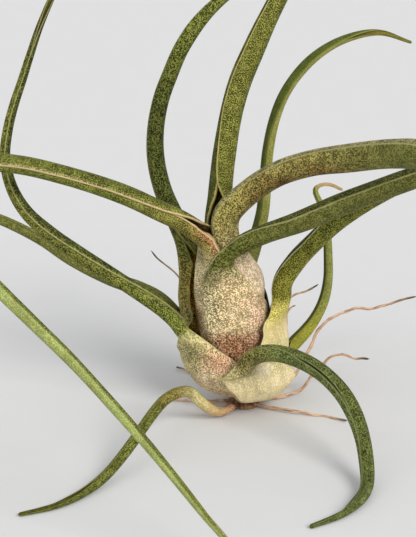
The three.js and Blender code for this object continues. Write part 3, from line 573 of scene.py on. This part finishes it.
def rims(look, outer, inner, seed):
    """Rounded rims that join the two faces along the margins, ragged at a fringe"""
    made = []
    for edge, beside in ((-1, -2), (0, 1)):
        outward = unit(outer[:, edge] - outer[:, beside])
        middle = (outer[:, edge] + inner[:, edge]) / 2
        wall = np.linalg.norm(outer[:, edge] - inner[:, edge], axis=-1, keepdims=True)
        made.append((middle + outward * np.minimum(wall, RIM_WIDTH) * RIM_ROUNDING, outward))
    if "fringe" in look:
        centre, reach = look["fringe"][:2]
        teeth = np.random.default_rng(seed).random((len(outer), 1)) * FRINGE_WIDTH
        for rim, outward in made:
            near = np.exp(-np.sum(((rim - centre) / reach) ** 2, axis=1, keepdims=True))
            rim += outward * near * teeth
    return [rim[:, None] for rim, _ in made]


def mesh_object(name, points, faces):
    mesh = bpy.data.meshes.new(name)
    mesh.from_pydata((np.asarray(points) * MM).tolist(), [], faces)
    mesh.validate()
    mesh.shade_smooth()
    return add_object(name, mesh)


def add_values(piece, name, values):
    """Keeps a number, a vector or a colour for every vertex under this name"""
    values = np.asarray(values, np.float32)
    kinds = {1: ("FLOAT", "value"), 3: ("FLOAT_VECTOR", "vector"), 4: ("FLOAT_COLOR", "color")}
    kind, slot = kinds[values.shape[1] if values.ndim > 1 else 1]
    piece.data.attributes.new(name, kind, "POINT").data.foreach_set(slot, values.ravel())


def closed_strip(sections, around):
    """Quads over sections of points that run once round a strip"""
    quads = []
    for i in range(sections - 1):
        for k in range(around):
            a = i * around + k
            b = i * around + (k + 1) % around
            quads.append((a, a + around, b + around, b))
    return quads


def make_leaf(name, leaf, bulb, seed):
    look = LOOKS[name]
    line, sheath_end = guide_line(leaf)
    s = stations(line, sheath_end, leaf["roll"])
    outer, inner, share, blade_radius, width = leaf_faces(leaf, line, sheath_end, s)
    outer, inner = clear_of(bulb, outer, inner, share)
    lift_off_floor(outer, inner)
    if leaf["sheath"]:
        bulb.mark(outer[share < ROLLED])
        bulb.mark(inner[share < ROLLED])
        bulb.ease()
    rim_right, rim_left = rims(look, outer, inner, seed)
    ring = np.concatenate([outer, rim_right, inner[:, ::-1], rim_left], axis=1)
    tip = (ring[-1].mean(axis=0) + line.slopes[-1] * blade_radius[-1] * TIP_REACH)[None]
    tip[:, 2] = np.maximum(tip[:, 2], FLOOR_GAP)
    foot = ring[0].mean(axis=0)[None]
    count = ring.shape[1]
    last = (len(s) - 1) * count
    tip_index = len(s) * count
    faces = closed_strip(len(s), count)
    faces += [(last + k, tip_index, last + (k + 1) % count) for k in range(count)]
    faces += [(k, (k + 1) % count, tip_index + 1) for k in range(count)]
    piece = mesh_object(name + "_skin", np.vstack([ring.reshape(-1, 3), tip, foot]), faces)

    def spread(values, at_tip, at_foot):
        """A value for every point of the rings, and then the tip's and the foot's"""
        return np.concatenate([np.broadcast_to(values, (len(s), count)).ravel(), [at_tip, at_foot]])

    f = np.linspace(-1, 1, ACROSS)
    inside = np.concatenate([np.zeros(ACROSS), [RIM_INSIDE], np.ones(ACROSS), [RIM_INSIDE]])[None]
    wide = np.concatenate([width, width[:, -1:], width[:, ::-1], width[:, :1]], axis=1)
    distance = spread(s[:, None], line.length, 0)
    across = spread(np.concatenate([f, [1], f[::-1], [-1]])[None], 0, 0)
    # Each leaf, and each of its faces, has its own part of the grain
    apart = seed * LEAF_APART
    depth = spread(inside * FACE_APART + apart, apart, apart)
    add_values(piece, "grain", np.stack([spread(wide, 0, 0), distance, depth], axis=-1))
    add_values(piece, "across", across)
    add_values(piece, "inside", spread(inside, 0, 0))
    rolled_at = sheath_end + leaf["roll"] + 1e-5
    place = np.interp(distance, [0, max(sheath_end, 1e-6), rolled_at, line.length], [0, 1, 2, 3])
    add_coats(piece, look, place, across)
    piece.data.materials.append(leaf_material(name, look))
    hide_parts(name)
    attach(piece, "root")


# Markings. The scales add some white, and in bright coats they are cooler and the skin is warmer

SKIN_TINT = (-0.02, 0, -0.15)
SCALE_TINT = (-0.04, 0, 0.12)
BAND_EDGE = 2.4
BAND_FADE = 0.25
BAND_OVERRUN = 0.1
FRINGE_FADE = 0.16

# A coat is the mean colour of the skin with its pale scales, and the contrast between the two
COATS = {
    "dark green": (70, 75, 18, 0.74),
    "mid green": (92, 97, 22, 0.74),
    "sage": (88, 92, 24, 0.66),
    "leafy": (109, 115, 36, 0.72),
    "soft green": (124, 128, 62, 0.28),
    "soft leaf": (140, 140, 68, 0.28),
    "pale leaf": (152, 160, 92, 0.24),
    "soft sage": (106, 108, 46, 0.42),
    "soft yellow": (142, 139, 46, 0.24),
    "deep green": (64, 76, 20, 0.24),
    "cool green": (92, 102, 44, 0.6),
    "olive": (113, 109, 30, 0.76),
    "gold olive": (132, 119, 48, 0.76),
    "grey olive": (142, 131, 62, 0.7),
    "gold brown": (138, 119, 54, 0.78),
    "red brown": (118, 80, 34, 0.72),
    "rose": (188, 112, 88, 0.5),
    "yellow green": (130, 126, 34, 0.66),
    "yellow": (196, 181, 92, 0.4),
    "cream": (222, 200, 140, 0.14),
    "mottled cream": (206, 181, 134, 0.5),
    "green cream": (164, 150, 100, 0.68),
    "grey green": (140, 134, 82, 0.72),
    "grey cream": (214, 198, 146, 0.76),
    "pale cream": (230, 210, 164, 0.16),
    "leaf cream": (204, 190, 130, 0.34),
    "pink cream": (240, 214, 178, 0.36),
    "pearl": (236, 218, 196, 0.06),
    "mauve": (235, 193, 164, 0.44),
    "purple brown": (164, 118, 82, 0.72),
    "dark red": (116, 62, 42, 0.3),
    "dusky pink": (216, 166, 128, 0.5),
    "bark brown": (150, 112, 74, 0.4),
    "straw": (196, 164, 116, 0.2),
}

# A dark green band beside a margin is partly the leaf's own darker green and partly painted shade on the side
# turned from the light. The pale bands of leaf_02 and leaf_07 are partly painted highlight.
# along: coats from the foot (0) over the sheath's top (1) and the end of the rolling (2) to the tip (3).
# The first and the last coat go on to the leaf's ends.
# bands: a coat on a strip that runs along the leaf: its middle across the leaf (-1 to 1), half its width, the
# coat, its strength, and where it starts and ends along the leaf.
# spots: a coat round a place (x, y, z), with its reach along each axis and its strength.
# fringe: a spot on the margins alone, where the edge is ragged too.
# margin: the colour of the thin line along the leaf's margin, and its strength.
# flush: the strength of the reddish flush. inside: the tint of the inner face.
LOOKS = {
    "leaf_01_centre": {
        "slot": "inner_leaf",
        "along": [(0, "mottled cream"), (1, "olive"), (1.5, "mid green"), (2, "leafy"), (3, "mid green")],
        # The dark green band is partly the leaf's own darker green and partly painted shade beside the margin.
        "bands": [(-0.85, 0.3, "dark green", 0.75, 1.2, 3), (0.7, 0.3, "gold olive", 0.25, 1.4, 3)],
        "margin": ((196, 180, 108), 0.95),
    },
    "leaf_02_top_right": {
        "slot": "inner_leaf",
        "along": [(1.38, "pink cream"), (1.5, "green cream"), (1.65, "gold brown"), (2, "grey olive"),
                  (2.3, "grey olive"), (2.6, "soft sage")],
        # The grey green band is partly the grey scales and partly a painted highlight along the leaf's top.
        "bands": [(-0.85, 0.25, "grey green", 0.7, 1.6, 3), (-0.12, 0.32, "red brown", 0.4, 1.5, 2.6),
                  (-0.5, 0.2, "olive", 0.25, 1.6, 2.3)],
        "spots": [((0.6, -6, 40), (3, 6, 3), "pink cream", 0.8),
                  ((-4, -8, 45), (4, 6, 5), "mottled cream", 0.35),
                  ((3.5, -11, 58), (4, 8, 2.6), "red brown", 0.6),
                  ((10, -17, 62.6), (6, 8, 2.2), "red brown", 0.8),
                  ((19, -27, 67.6), (7, 8, 2.2), "red brown", 0.7)],
        "margin": ((178, 172, 122), 0.6),
        "flush": 0.25,
    },
    "leaf_03_left": {
        "slot": "inner_leaf",
        "along": [(0, "pink cream"), (0.35, "grey cream"), (1.15, "grey cream"), (1.5, "green cream"),
                  (1.75, "gold olive"), (1.95, "gold olive"), (2.1, "leafy"), (2.4, "leafy"),
                  (2.6, "pale leaf")],
        # The mid green band is partly the leaf's own green and partly painted shade along its darker top edge
        # beside the margin.
        "bands": [(0.68, 0.28, "mid green", 0.9, 1.2, 3), (0.95, 0.06, "green cream", 0.6, 2, 3)],
        "spots": [((-11, -9, 22), (1.6, 6, 9), "dusky pink", 0.6),
                  ((-11, -9, 46), (6, 6, 4), "gold brown", 0.35)],
        "fringe": ((-10.5, -8, 44.5), (4.2, 6, 4.2), "rose", 0.95),
        "flush": 0.4,
        "margin": ((216, 190, 142), 0.85),
    },
    "leaf_04_front": {
        "slot": "pale_leaf",
        "along": [(0.54, "purple brown"), (0.62, "mottled cream"), (1.3, "mottled cream"),
                  (1.46, "green cream"), (1.62, "sage"), (2, "sage"), (2.15, "soft sage")],
        # The dark green band is partly the leaf's own darker green and partly painted shade beside the margin.
        "bands": [(-0.75, 0.3, "dark green", 0.8, 1.75, 3)],
        # The mauve spot is partly the sheath's own pink and partly a painted highlight on the egg's lit right
        # side. The dark red spot is painted shade in the gap where the egg meets leaf_07.
        "spots": [((4, -11, 27), (2.8, 5, 7), "mauve", 0.8), ((6.9, -6, 30), (1.2, 4, 5), "dark red", 0.75),
                  ((-8.2, -9, 29), (2.6, 6, 8), "grey cream", 0.85),
                  ((-9, -10, 37.5), (2.6, 6, 4.6), "sage", 0.75)],
        "margin": ((184, 178, 122), 0.6),
        "flush": 0.25,
    },
    "leaf_05_back_right": {
        "slot": "inner_leaf",
        "along": [(0, "cream"), (1, "dark green"), (1.8, "dark green"), (2.2, "soft leaf")],
        # The deep green band is partly the leaf's own darker green and partly painted shade on its side turned
        # from the light.
        "bands": [(-0.62, 0.38, "deep green", 0.9, 1.2, 3)],
        "margin": ((140, 134, 70), 0.6),
    },
    "leaf_06_back_left": {
        "slot": "inner_leaf",
        "along": [(0, "cream"), (0.5, "green cream"), (1, "gold olive"), (1.65, "gold olive"),
                  (1.85, "mid green"), (2.1, "dark green"), (2.35, "dark green"), (2.65, "mid green")],
        "margin": ((142, 136, 74), 0.6),
        # This inside tint lightens the inner face above its own colour: painted light in the channel that lies
        # in shade beside the bulb.
        "inside": (2.3, 1.9, 1.0),
    },
    "leaf_07_right": {
        "slot": "outer_leaf",
        "along": [(0, "pink cream"), (0.6, "pale cream"), (1, "cream"), (1.5, "yellow"), (1.7, "yellow"),
                  (1.95, "yellow green"), (2.3, "mid green"), (2.55, "dark green"), (3, "mid green")],
        # The dark green band is partly the leaf's own darker green and partly painted shade on the side turned
        # from the light. The yellow green band is partly its own yellow and partly a painted highlight on the
        # lit side.
        "bands": [(-0.75, 0.35, "dark green", 0.9, 1.75, 3), (0.3, 0.3, "yellow green", 0.6, 2.05, 2.5)],
        "spots": [((10, -6, 19), (4, 6, 2.4), "leaf cream", 0.7), ((12, -4, 22), (2, 6, 3), "pearl", 0.5)],
        "margin": ((206, 200, 150), 0.9),
    },
    "leaf_08_far_left": {
        "slot": "outer_leaf",
        "along": [(0, "cream"), (1, "mid green"), (2, "soft sage")],
        "margin": ((130, 130, 66), 0.4),
    },
    "leaf_09_lower_left": {
        "slot": "outer_leaf",
        "along": [(0, "pink cream"), (0.45, "mottled cream"), (0.8, "green cream"), (1.3, "green cream"),
                  (1.7, "leaf cream"), (1.95, "leafy"), (2.25, "mid green"), (2.6, "mid green"),
                  (2.75, "dark green")],
        # The dark green band is partly the leaf's own darker green and partly painted shade above the margin.
        "bands": [(0.7, 0.28, "dark green", 0.9, 1.9, 3), (-0.4, 0.5, "olive", 0.4, 2.05, 3)],
        "spots": [((-6, -14, 15), (5.2, 6, 4), "dusky pink", 0.95),
                  ((-13.5, -11, 17), (2.2, 6, 4), "grey green", 0.8),
                  ((-15, -9, 13), (2.4, 6, 2.4), "leaf cream", 0.7),
                  ((-9, -12, 10), (5, 6, 3), "pink cream", 0.7)],
        "margin": ((194, 186, 126), 0.5),
    },
    "leaf_10_curled_right": {
        "slot": "outer_leaf",
        "along": [(0, "cream"), (0.8, "soft yellow"), (2.1, "soft yellow"), (2.3, "soft green"),
                  (2.8, "soft green"), (2.9, "straw")],
        # The deep green band is partly the leaf's own darker green and partly painted shade on its side turned
        # from the light.
        "bands": [(-0.75, 0.3, "deep green", 0.9, 1, 2.7)],
        "margin": ((150, 146, 70), 0.4),
    },
    "leaf_11_lower_front": {
        "slot": "pale_leaf",
        "along": [(0, "bark brown"), (0.2, "pale cream"), (0.95, "pale cream"), (1.3, "leaf cream"),
                  (1.7, "green cream"), (1.92, "gold brown"), (2.14, "cool green")],
        # The dark green band is partly the leaf's own darker green and partly painted shade beside the margin.
        "bands": [(-0.7, 0.25, "dark green", 0.6, 2.1, 3), (0.97, 0.12, "bark brown", 0.85, 0, 0.8)],
        # The pearl spot is a painted highlight on the lit front of the sheath below the egg.
        "spots": [((5, -16, 14), (2.6, 6, 2.6), "pearl", 0.8),
                  ((-3, -15, 13.5), (3, 6, 2.4), "leaf cream", 0.7),
                  ((1.5, -17, 10), (3, 6, 1.6), "leaf cream", 0.4),
                  ((0.8, -17, 14.5), (2.4, 6, 2.4), "grey green", 0.5)],
        "margin": ((138, 142, 92), 0.5),
    },
    "leaf_12_low_left": {
        "slot": "outer_leaf",
        "along": [(2, "dusky pink"), (2.1, "straw"), (2.2, "leaf cream"), (2.32, "gold olive"),
                  (2.45, "mid green")],
        "margin": ((130, 130, 66), 0.4),
    },
}


def linear(colour):
    """Linear light from a colour in steps from 0 to 255"""
    c = np.asarray(colour, float) / 255
    return np.where(c <= 0.04045, c / 12.92, ((c + 0.055) / 1.055) ** 2.4)


def coat_row(name):
    """The coat's skin colour and the colour of its scales"""
    *mean, contrast = COATS[name]
    mean = linear(mean)
    pale = min(0.05, 0.4 * mean[1])
    creamy = smooth((mean[1] - 0.08) / 0.3)
    skin = mean * (1 - contrast) * (1 + creamy * np.array(SKIN_TINT))
    scales = mean * (1 + 1.05 * contrast) * (1 + creamy * np.array(SCALE_TINT))
    return np.concatenate([skin, scales + pale * contrast])


def add_coats(piece, look, place, across):
    """Writes the leaf's coats to its vertices as two colours"""
    stops = np.array([stop for stop, _ in look["along"]])
    rows = np.array([coat_row(coat) for _, coat in look["along"]])
    paint = np.stack([np.interp(place, stops, rows[:, k]) for k in range(6)], axis=-1)
    for middle, reach, coat, strength, start, end in look.get("bands", ()):
        weight = smooth(BAND_EDGE - BAND_EDGE * np.abs(across - middle) / reach) * strength
        weight = weight * smooth((place - start) / BAND_FADE)
        weight = weight * smooth((end + BAND_OVERRUN - place) / BAND_FADE)
        paint = mix(paint, coat_row(coat)[None], weight[:, None])
    count = len(piece.data.vertices)
    points = np.empty(count * 3)
    piece.data.vertices.foreach_get("co", points)
    points = points.reshape(-1, 3) / MM
    near_margin = smooth((np.abs(across) - (1 - MARGIN_WIDTH)) / FRINGE_FADE)
    spots = [(*spot, 1) for spot in look.get("spots", ())]
    if "fringe" in look:
        spots.append((*look["fringe"], near_margin))
    for centre, reach, coat, strength, mask in spots:
        far = np.sum(((points - centre) / reach) ** 2, axis=1)
        weight = np.exp(-far) * strength * mask
        paint = mix(paint, coat_row(coat)[None], weight[:, None])
    ones = np.ones((count, 1))
    add_values(piece, "skin", np.hstack([paint[:, :3], ones]))
    add_values(piece, "scales", np.hstack([paint[:, 3:], ones]))


# Materials, with the colours of the plain ones in linear light

FLUSH = 0.16
FLUSH_COLOUR = (0.92, 0.62, 0.52, 1)
INNER_TINT = (0.78, 0.68, 0.5)
ROOT_DARK = (0.33, 0.18, 0.1, 1)
ROOT_PALE = (0.66, 0.44, 0.28, 1)
ROOT_TIP = (0.07, 0.06, 0.03, 1)
STEM_DARK = (0.11, 0.055, 0.03, 1)
STEM_PALE = (0.36, 0.2, 0.1, 1)
FLOOR_DARK = (0.627, 0.627, 0.627, 1)
FLOOR_PALE = (0.633, 0.633, 0.633, 1)
SCALE_GRAIN = 3.9
SPECULAR = 0.09
SHEEN_ROUGHNESS = 0.45


class Shader:
    """A material's node tree with short calls for the nodes that these materials use"""

    def __init__(self, name):
        self.material = bpy.data.materials.new(name)
        self.material.use_nodes = True
        self.tree = self.material.node_tree
        self.tree.nodes.clear()

    def add(self, kind, settings=None, **inputs):
        """A new node. Its inputs are given by name, or by number as i0, i1 and so on"""
        made = self.tree.nodes.new(kind)
        for key, value in (settings or {}).items():
            setattr(made, key, value)
        for key, value in inputs.items():
            numbered = key[0] == "i" and key[1:].isdigit()
            socket = made.inputs[int(key[1:]) if numbered else key]
            if isinstance(value, bpy.types.NodeSocket):
                self.tree.links.new(value, socket)
            else:
                socket.default_value = value
        return made

    def value(self, name, output="Fac"):
        return self.add("ShaderNodeAttribute", {"attribute_name": name}).outputs[output]

    def maths(self, kind, a, b):
        return self.add("ShaderNodeMath", {"operation": kind}, i0=a, i1=b).outputs[0]

    def noise(self, vector, scale, detail=2.0, roughness=0.55):
        return self.add("ShaderNodeTexNoise", Vector=vector, Scale=scale, Detail=detail,
                        Roughness=roughness).outputs["Fac"]

    def ramp(self, value, low, high, out_low=0.0, out_high=1.0):
        return self.add("ShaderNodeMapRange", {"interpolation_type": "SMOOTHSTEP"}, i0=value, i1=low, i2=high,
                        i3=out_low, i4=out_high).outputs[0]

    def blend(self, factor, a, b, kind="MIX"):
        return self.add("ShaderNodeMix", {"data_type": "RGBA", "blend_type": kind}, i0=factor, i6=a,
                        i7=b).outputs[2]

    def grey(self, value):
        return self.add("ShaderNodeCombineColor", i0=value, i1=value, i2=value).outputs[0]

    def stretched(self, vector, scale):
        return self.add("ShaderNodeMapping", i0=vector, i3=scale).outputs[0]

    def finish(self, colour, roughness, height, bump_depth, sheen=0.0):
        bump = self.add("ShaderNodeBump", Strength=1.0, Distance=bump_depth * MM, Height=height)
        shader = self.add("ShaderNodeBsdfPrincipled", **{
            "Base Color": colour,
            "Roughness": roughness,
            "Normal": bump.outputs[0],
            "Sheen Weight": sheen,
            "Sheen Roughness": SHEEN_ROUGHNESS,
            "Specular IOR Level": SPECULAR,
        })
        self.add("ShaderNodeOutputMaterial", Surface=shader.outputs[0])
        return self.material


def leaf_material(name, look):
    sh = Shader(name + "_surface")
    grain = sh.value("grain", "Vector")
    skin = sh.value("skin", "Color")
    scales = sh.value("scales", "Color")
    inside = sh.value("inside")
    edge = sh.maths("ABSOLUTE", sh.value("across"), 0.0)

    # Scales: fine pale grains, slightly longer along the leaf, thick in some places and sparse in others
    fine = sh.noise(sh.stretched(grain, (1.0, 0.78, 1.0)), SCALE_GRAIN, 2.0, 0.6)
    patchy = sh.noise(grain, 0.45, 2.0)
    level = sh.maths("ADD", fine, sh.ramp(patchy, 0.3, 0.7, -0.035, 0.035))
    scaled = sh.ramp(level, 0.47, 0.56)
    colour = sh.blend(scaled, skin, scales)

    # A reddish flush in places, slow changes of tone, and faint veins along the leaf
    flush_strength = look.get("flush", FLUSH)
    flush = sh.ramp(sh.noise(grain, 0.75, 3.0), 0.48, 0.66, 0.0, flush_strength)
    colour = sh.blend(flush, colour, FLUSH_COLOUR, "MULTIPLY")
    tone = sh.ramp(sh.noise(grain, 0.16, 3.0), 0.3, 0.7, 0.88, 1.1)
    veins = sh.noise(sh.stretched(grain, (1.0, 0.03, 1.0)), 1.5, 1.0)
    tone = sh.maths("MULTIPLY", tone, sh.ramp(veins, 0.35, 0.65, 0.92, 1.06))
    colour = sh.blend(1.0, colour, sh.grey(tone), "MULTIPLY")

    # The margin is a thin pale line, and the inner face is darker, except on leaf_06, whose inside tint
    # lightens it as painted light in its shaded channel
    line_colour, strength = look["margin"]
    ragged = sh.maths("ADD", edge, sh.ramp(sh.noise(grain, 1.3, 2.0), 0.3, 0.7, -0.01, 0.01))
    colour = sh.blend(sh.ramp(ragged, 0.95, 0.98, 0.0, strength), colour, (*linear(line_colour), 1))
    shade = sh.maths("MULTIPLY", sh.ramp(inside, 0.4, 0.9), sh.ramp(edge, 0.99, 0.9))
    inner_tint = look.get("inside", INNER_TINT)
    colour = sh.blend(shade, colour, (*inner_tint, 1), "MULTIPLY")

    roughness = sh.ramp(fine, 0.3, 0.7, 0.5, 0.7)
    height = sh.maths("ADD", scaled, sh.maths("MULTIPLY", veins, 0.6))
    return sh.finish(colour, roughness, height, LEAF_BUMP, sheen=0.015)


def root_material():
    sh = Shader("root_surface")
    grain = sh.value("grain", "Vector")
    base = sh.noise(sh.stretched(grain, (1.0, 0.5, 1.0)), 0.9, 3.0)
    colour = sh.blend(sh.ramp(base, 0.35, 0.65), ROOT_DARK, ROOT_PALE)
    colour = sh.blend(sh.ramp(sh.value("tip"), 0.86, 1.0), colour, ROOT_TIP)
    rings = sh.noise(sh.stretched(grain, (0.2, 1.0, 1.0)), 1.6, 2.0)
    roughness = sh.ramp(base, 0.3, 0.7, 0.55, 0.8)
    return sh.finish(colour, roughness, sh.maths("ADD", base, rings), ROOT_BUMP, sheen=0.1)


def stem_material():
    sh = Shader("stem_surface")
    grain = sh.value("grain", "Vector")
    fibre = sh.noise(sh.stretched(grain, (1.0, 0.15, 1.0)), 1.6, 4.0)
    colour = sh.blend(sh.ramp(fibre, 0.35, 0.65), STEM_DARK, STEM_PALE)
    roughness = sh.ramp(fibre, 0.3, 0.7, 0.7, 0.9)
    return sh.finish(colour, roughness, fibre, STEM_BUMP, sheen=0.05)


# Stem and roots

def wooden_tube(name, rings, round_grain, s, apart, material):
    """A closed tube over these rings of points, and its grain: round it, along it and apart from others"""
    count, around = rings.shape[:2]
    quads = [tuple(reversed(q)) for q in closed_strip(count, around)]
    last = (count - 1) * around
    ends = [tuple(reversed(range(around))), tuple(range(last, last + around))]
    piece = mesh_object(name, rings.reshape(-1, 3), quads + ends)
    parts = [np.broadcast_to(part, (count, around)) for part in (round_grain, s[:, None], apart)]
    add_values(piece, "grain", np.stack(parts, axis=-1).reshape(-1, 3))
    piece.data.materials.append(material)
    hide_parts("stem_with_roots")
    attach(piece, "root")
    return piece


def make_stem(material):
    foot = [STEM_END, 0, 0]
    top = [STEM_END, 0, STEM_OUTLINE[-1][1] + STEM_END]
    outline = Line([foot] + [[r, 0, z] for r, z in STEM_OUTLINE] + [top])
    s = np.linspace(0, outline.length, STEM_ROWS)
    profile, _ = outline.read(s)
    turn = np.linspace(0, 2 * math.pi, STEM_SIDES, endpoint=False)
    radius = np.maximum(profile[:, 0], 0.02)[:, None] * np.ones(STEM_SIDES)[None]
    z = np.clip(profile[:, 2], 0, None)[:, None] * np.ones(STEM_SIDES)[None]
    ridges = 0.05 * np.sin(turn * 17 + np.sin(turn * 5) * 2)[None] + 0.04 * np.sin(turn * 31)[None]
    radius = radius * (1 + ridges * smooth(z / 1.2) - 0.03 * smooth(z / 1.2))
    points = np.stack([radius * np.cos(turn) + BULB_LEAN * z, radius * np.sin(turn), z], axis=-1)
    wooden_tube("stem_skin", points, turn[None] * 3, s, 0, material)


def make_root(index, radius, path, material):
    line = Line(path)
    count = round(line.length / ROOT_STEP)
    s = np.linspace(0, line.length, count + 1)
    point, tangent = line.read(s)
    share = s / line.length
    sway = np.stack([waves(point, 40 + index * 3 + k, ROOT_WAVE) for k in range(3)], axis=-1)
    point = point + ROOT_SWAY * sway * smooth(share * 8)[:, None]
    normal = unit(np.cross(tangent[0], [0.3, 0.2, 1]))
    turn = np.linspace(0, 2 * math.pi, ROOT_SIDES, endpoint=False)
    rings = []
    for i in range(len(s)):
        if i:
            normal = turned_with(normal, tangent[i - 1], tangent[i])
        normal = unit(normal - tangent[i] * (normal @ tangent[i]))
        side = np.cross(tangent[i], normal)
        thick = radius * mix(1, ROOT_TIP_SHARE, share[i])
        thick *= 1 + ROOT_KNOBS * math.sin(s[i] * 1.9 + index) * math.sin(s[i] * 0.7 + 2 * index)
        rounded = max(0, (share[i] - (1 - ROOT_ROUNDED)) / ROOT_ROUNDED)
        thick *= math.sqrt(max(0.02, 1 - rounded ** 2))
        rings.append(point[i] + thick * (np.cos(turn)[:, None] * normal + np.sin(turn)[:, None] * side))
    points = np.array(rings)
    points[..., 2] = np.maximum(points[..., 2], FLOOR_GAP)
    piece = wooden_tube(f"root_{index + 1}_skin", points, turn[None] * radius, s, index * 5.0, material)
    add_values(piece, "tip", np.repeat(share, ROOT_SIDES))


# Floor and light

def make_floor():
    sh = Shader("floor_surface")
    place = sh.add("ShaderNodeNewGeometry").outputs["Position"]
    tone = sh.noise(place, 60.0, 3.0)
    colour = sh.blend(sh.ramp(tone, 0.3, 0.7), FLOOR_DARK, FLOOR_PALE)
    material = sh.finish(colour, sh.ramp(tone, 0.3, 0.7, 0.75, 0.85), tone, FLOOR_BUMP)
    turns = [2 * math.pi * k / FLOOR_SIDES for k in range(FLOOR_SIDES)]
    points = [(FLOOR_RADIUS * math.cos(turn), FLOOR_RADIUS * math.sin(turn), -FLOOR_DROP) for turn in turns]
    floor = mesh_object("floor", points, [tuple(range(FLOOR_SIDES))])
    floor.data.materials.append(material)


def sun_light(name, direction, strength, angle, colour):
    """A lamp far away in this direction, as soft as a wide panel seen under this angle"""
    data = bpy.data.lights.new(name, "SUN")
    data.energy = strength
    data.angle = math.radians(angle)
    data.color = colour
    light = add_object(name, data)
    light.rotation_euler = Vector(direction).to_track_quat("Z", "Y").to_euler()


def light_scene():
    world = bpy.data.worlds.new("studio")
    world.use_nodes = True
    background = world.node_tree.nodes["Background"]
    background.inputs["Color"].default_value = SKY_COLOUR
    background.inputs["Strength"].default_value = SKY_STRENGTH
    bpy.context.scene.world = world
    for name, lamp in LAMPS.items():
        sun_light(name, *lamp)
    bpy.context.scene.view_settings.view_transform = "Standard"


place_camera()
bulb = BulbSurface()
for number, (name, leaf) in enumerate(LEAVES.items()):
    make_leaf(name, leaf, bulb, number)
wood = root_material()
make_stem(stem_material())
for number, (root_radius, root_path) in enumerate(ROOTS):
    make_root(number, root_radius, root_path, wood)
make_floor()
light_scene()
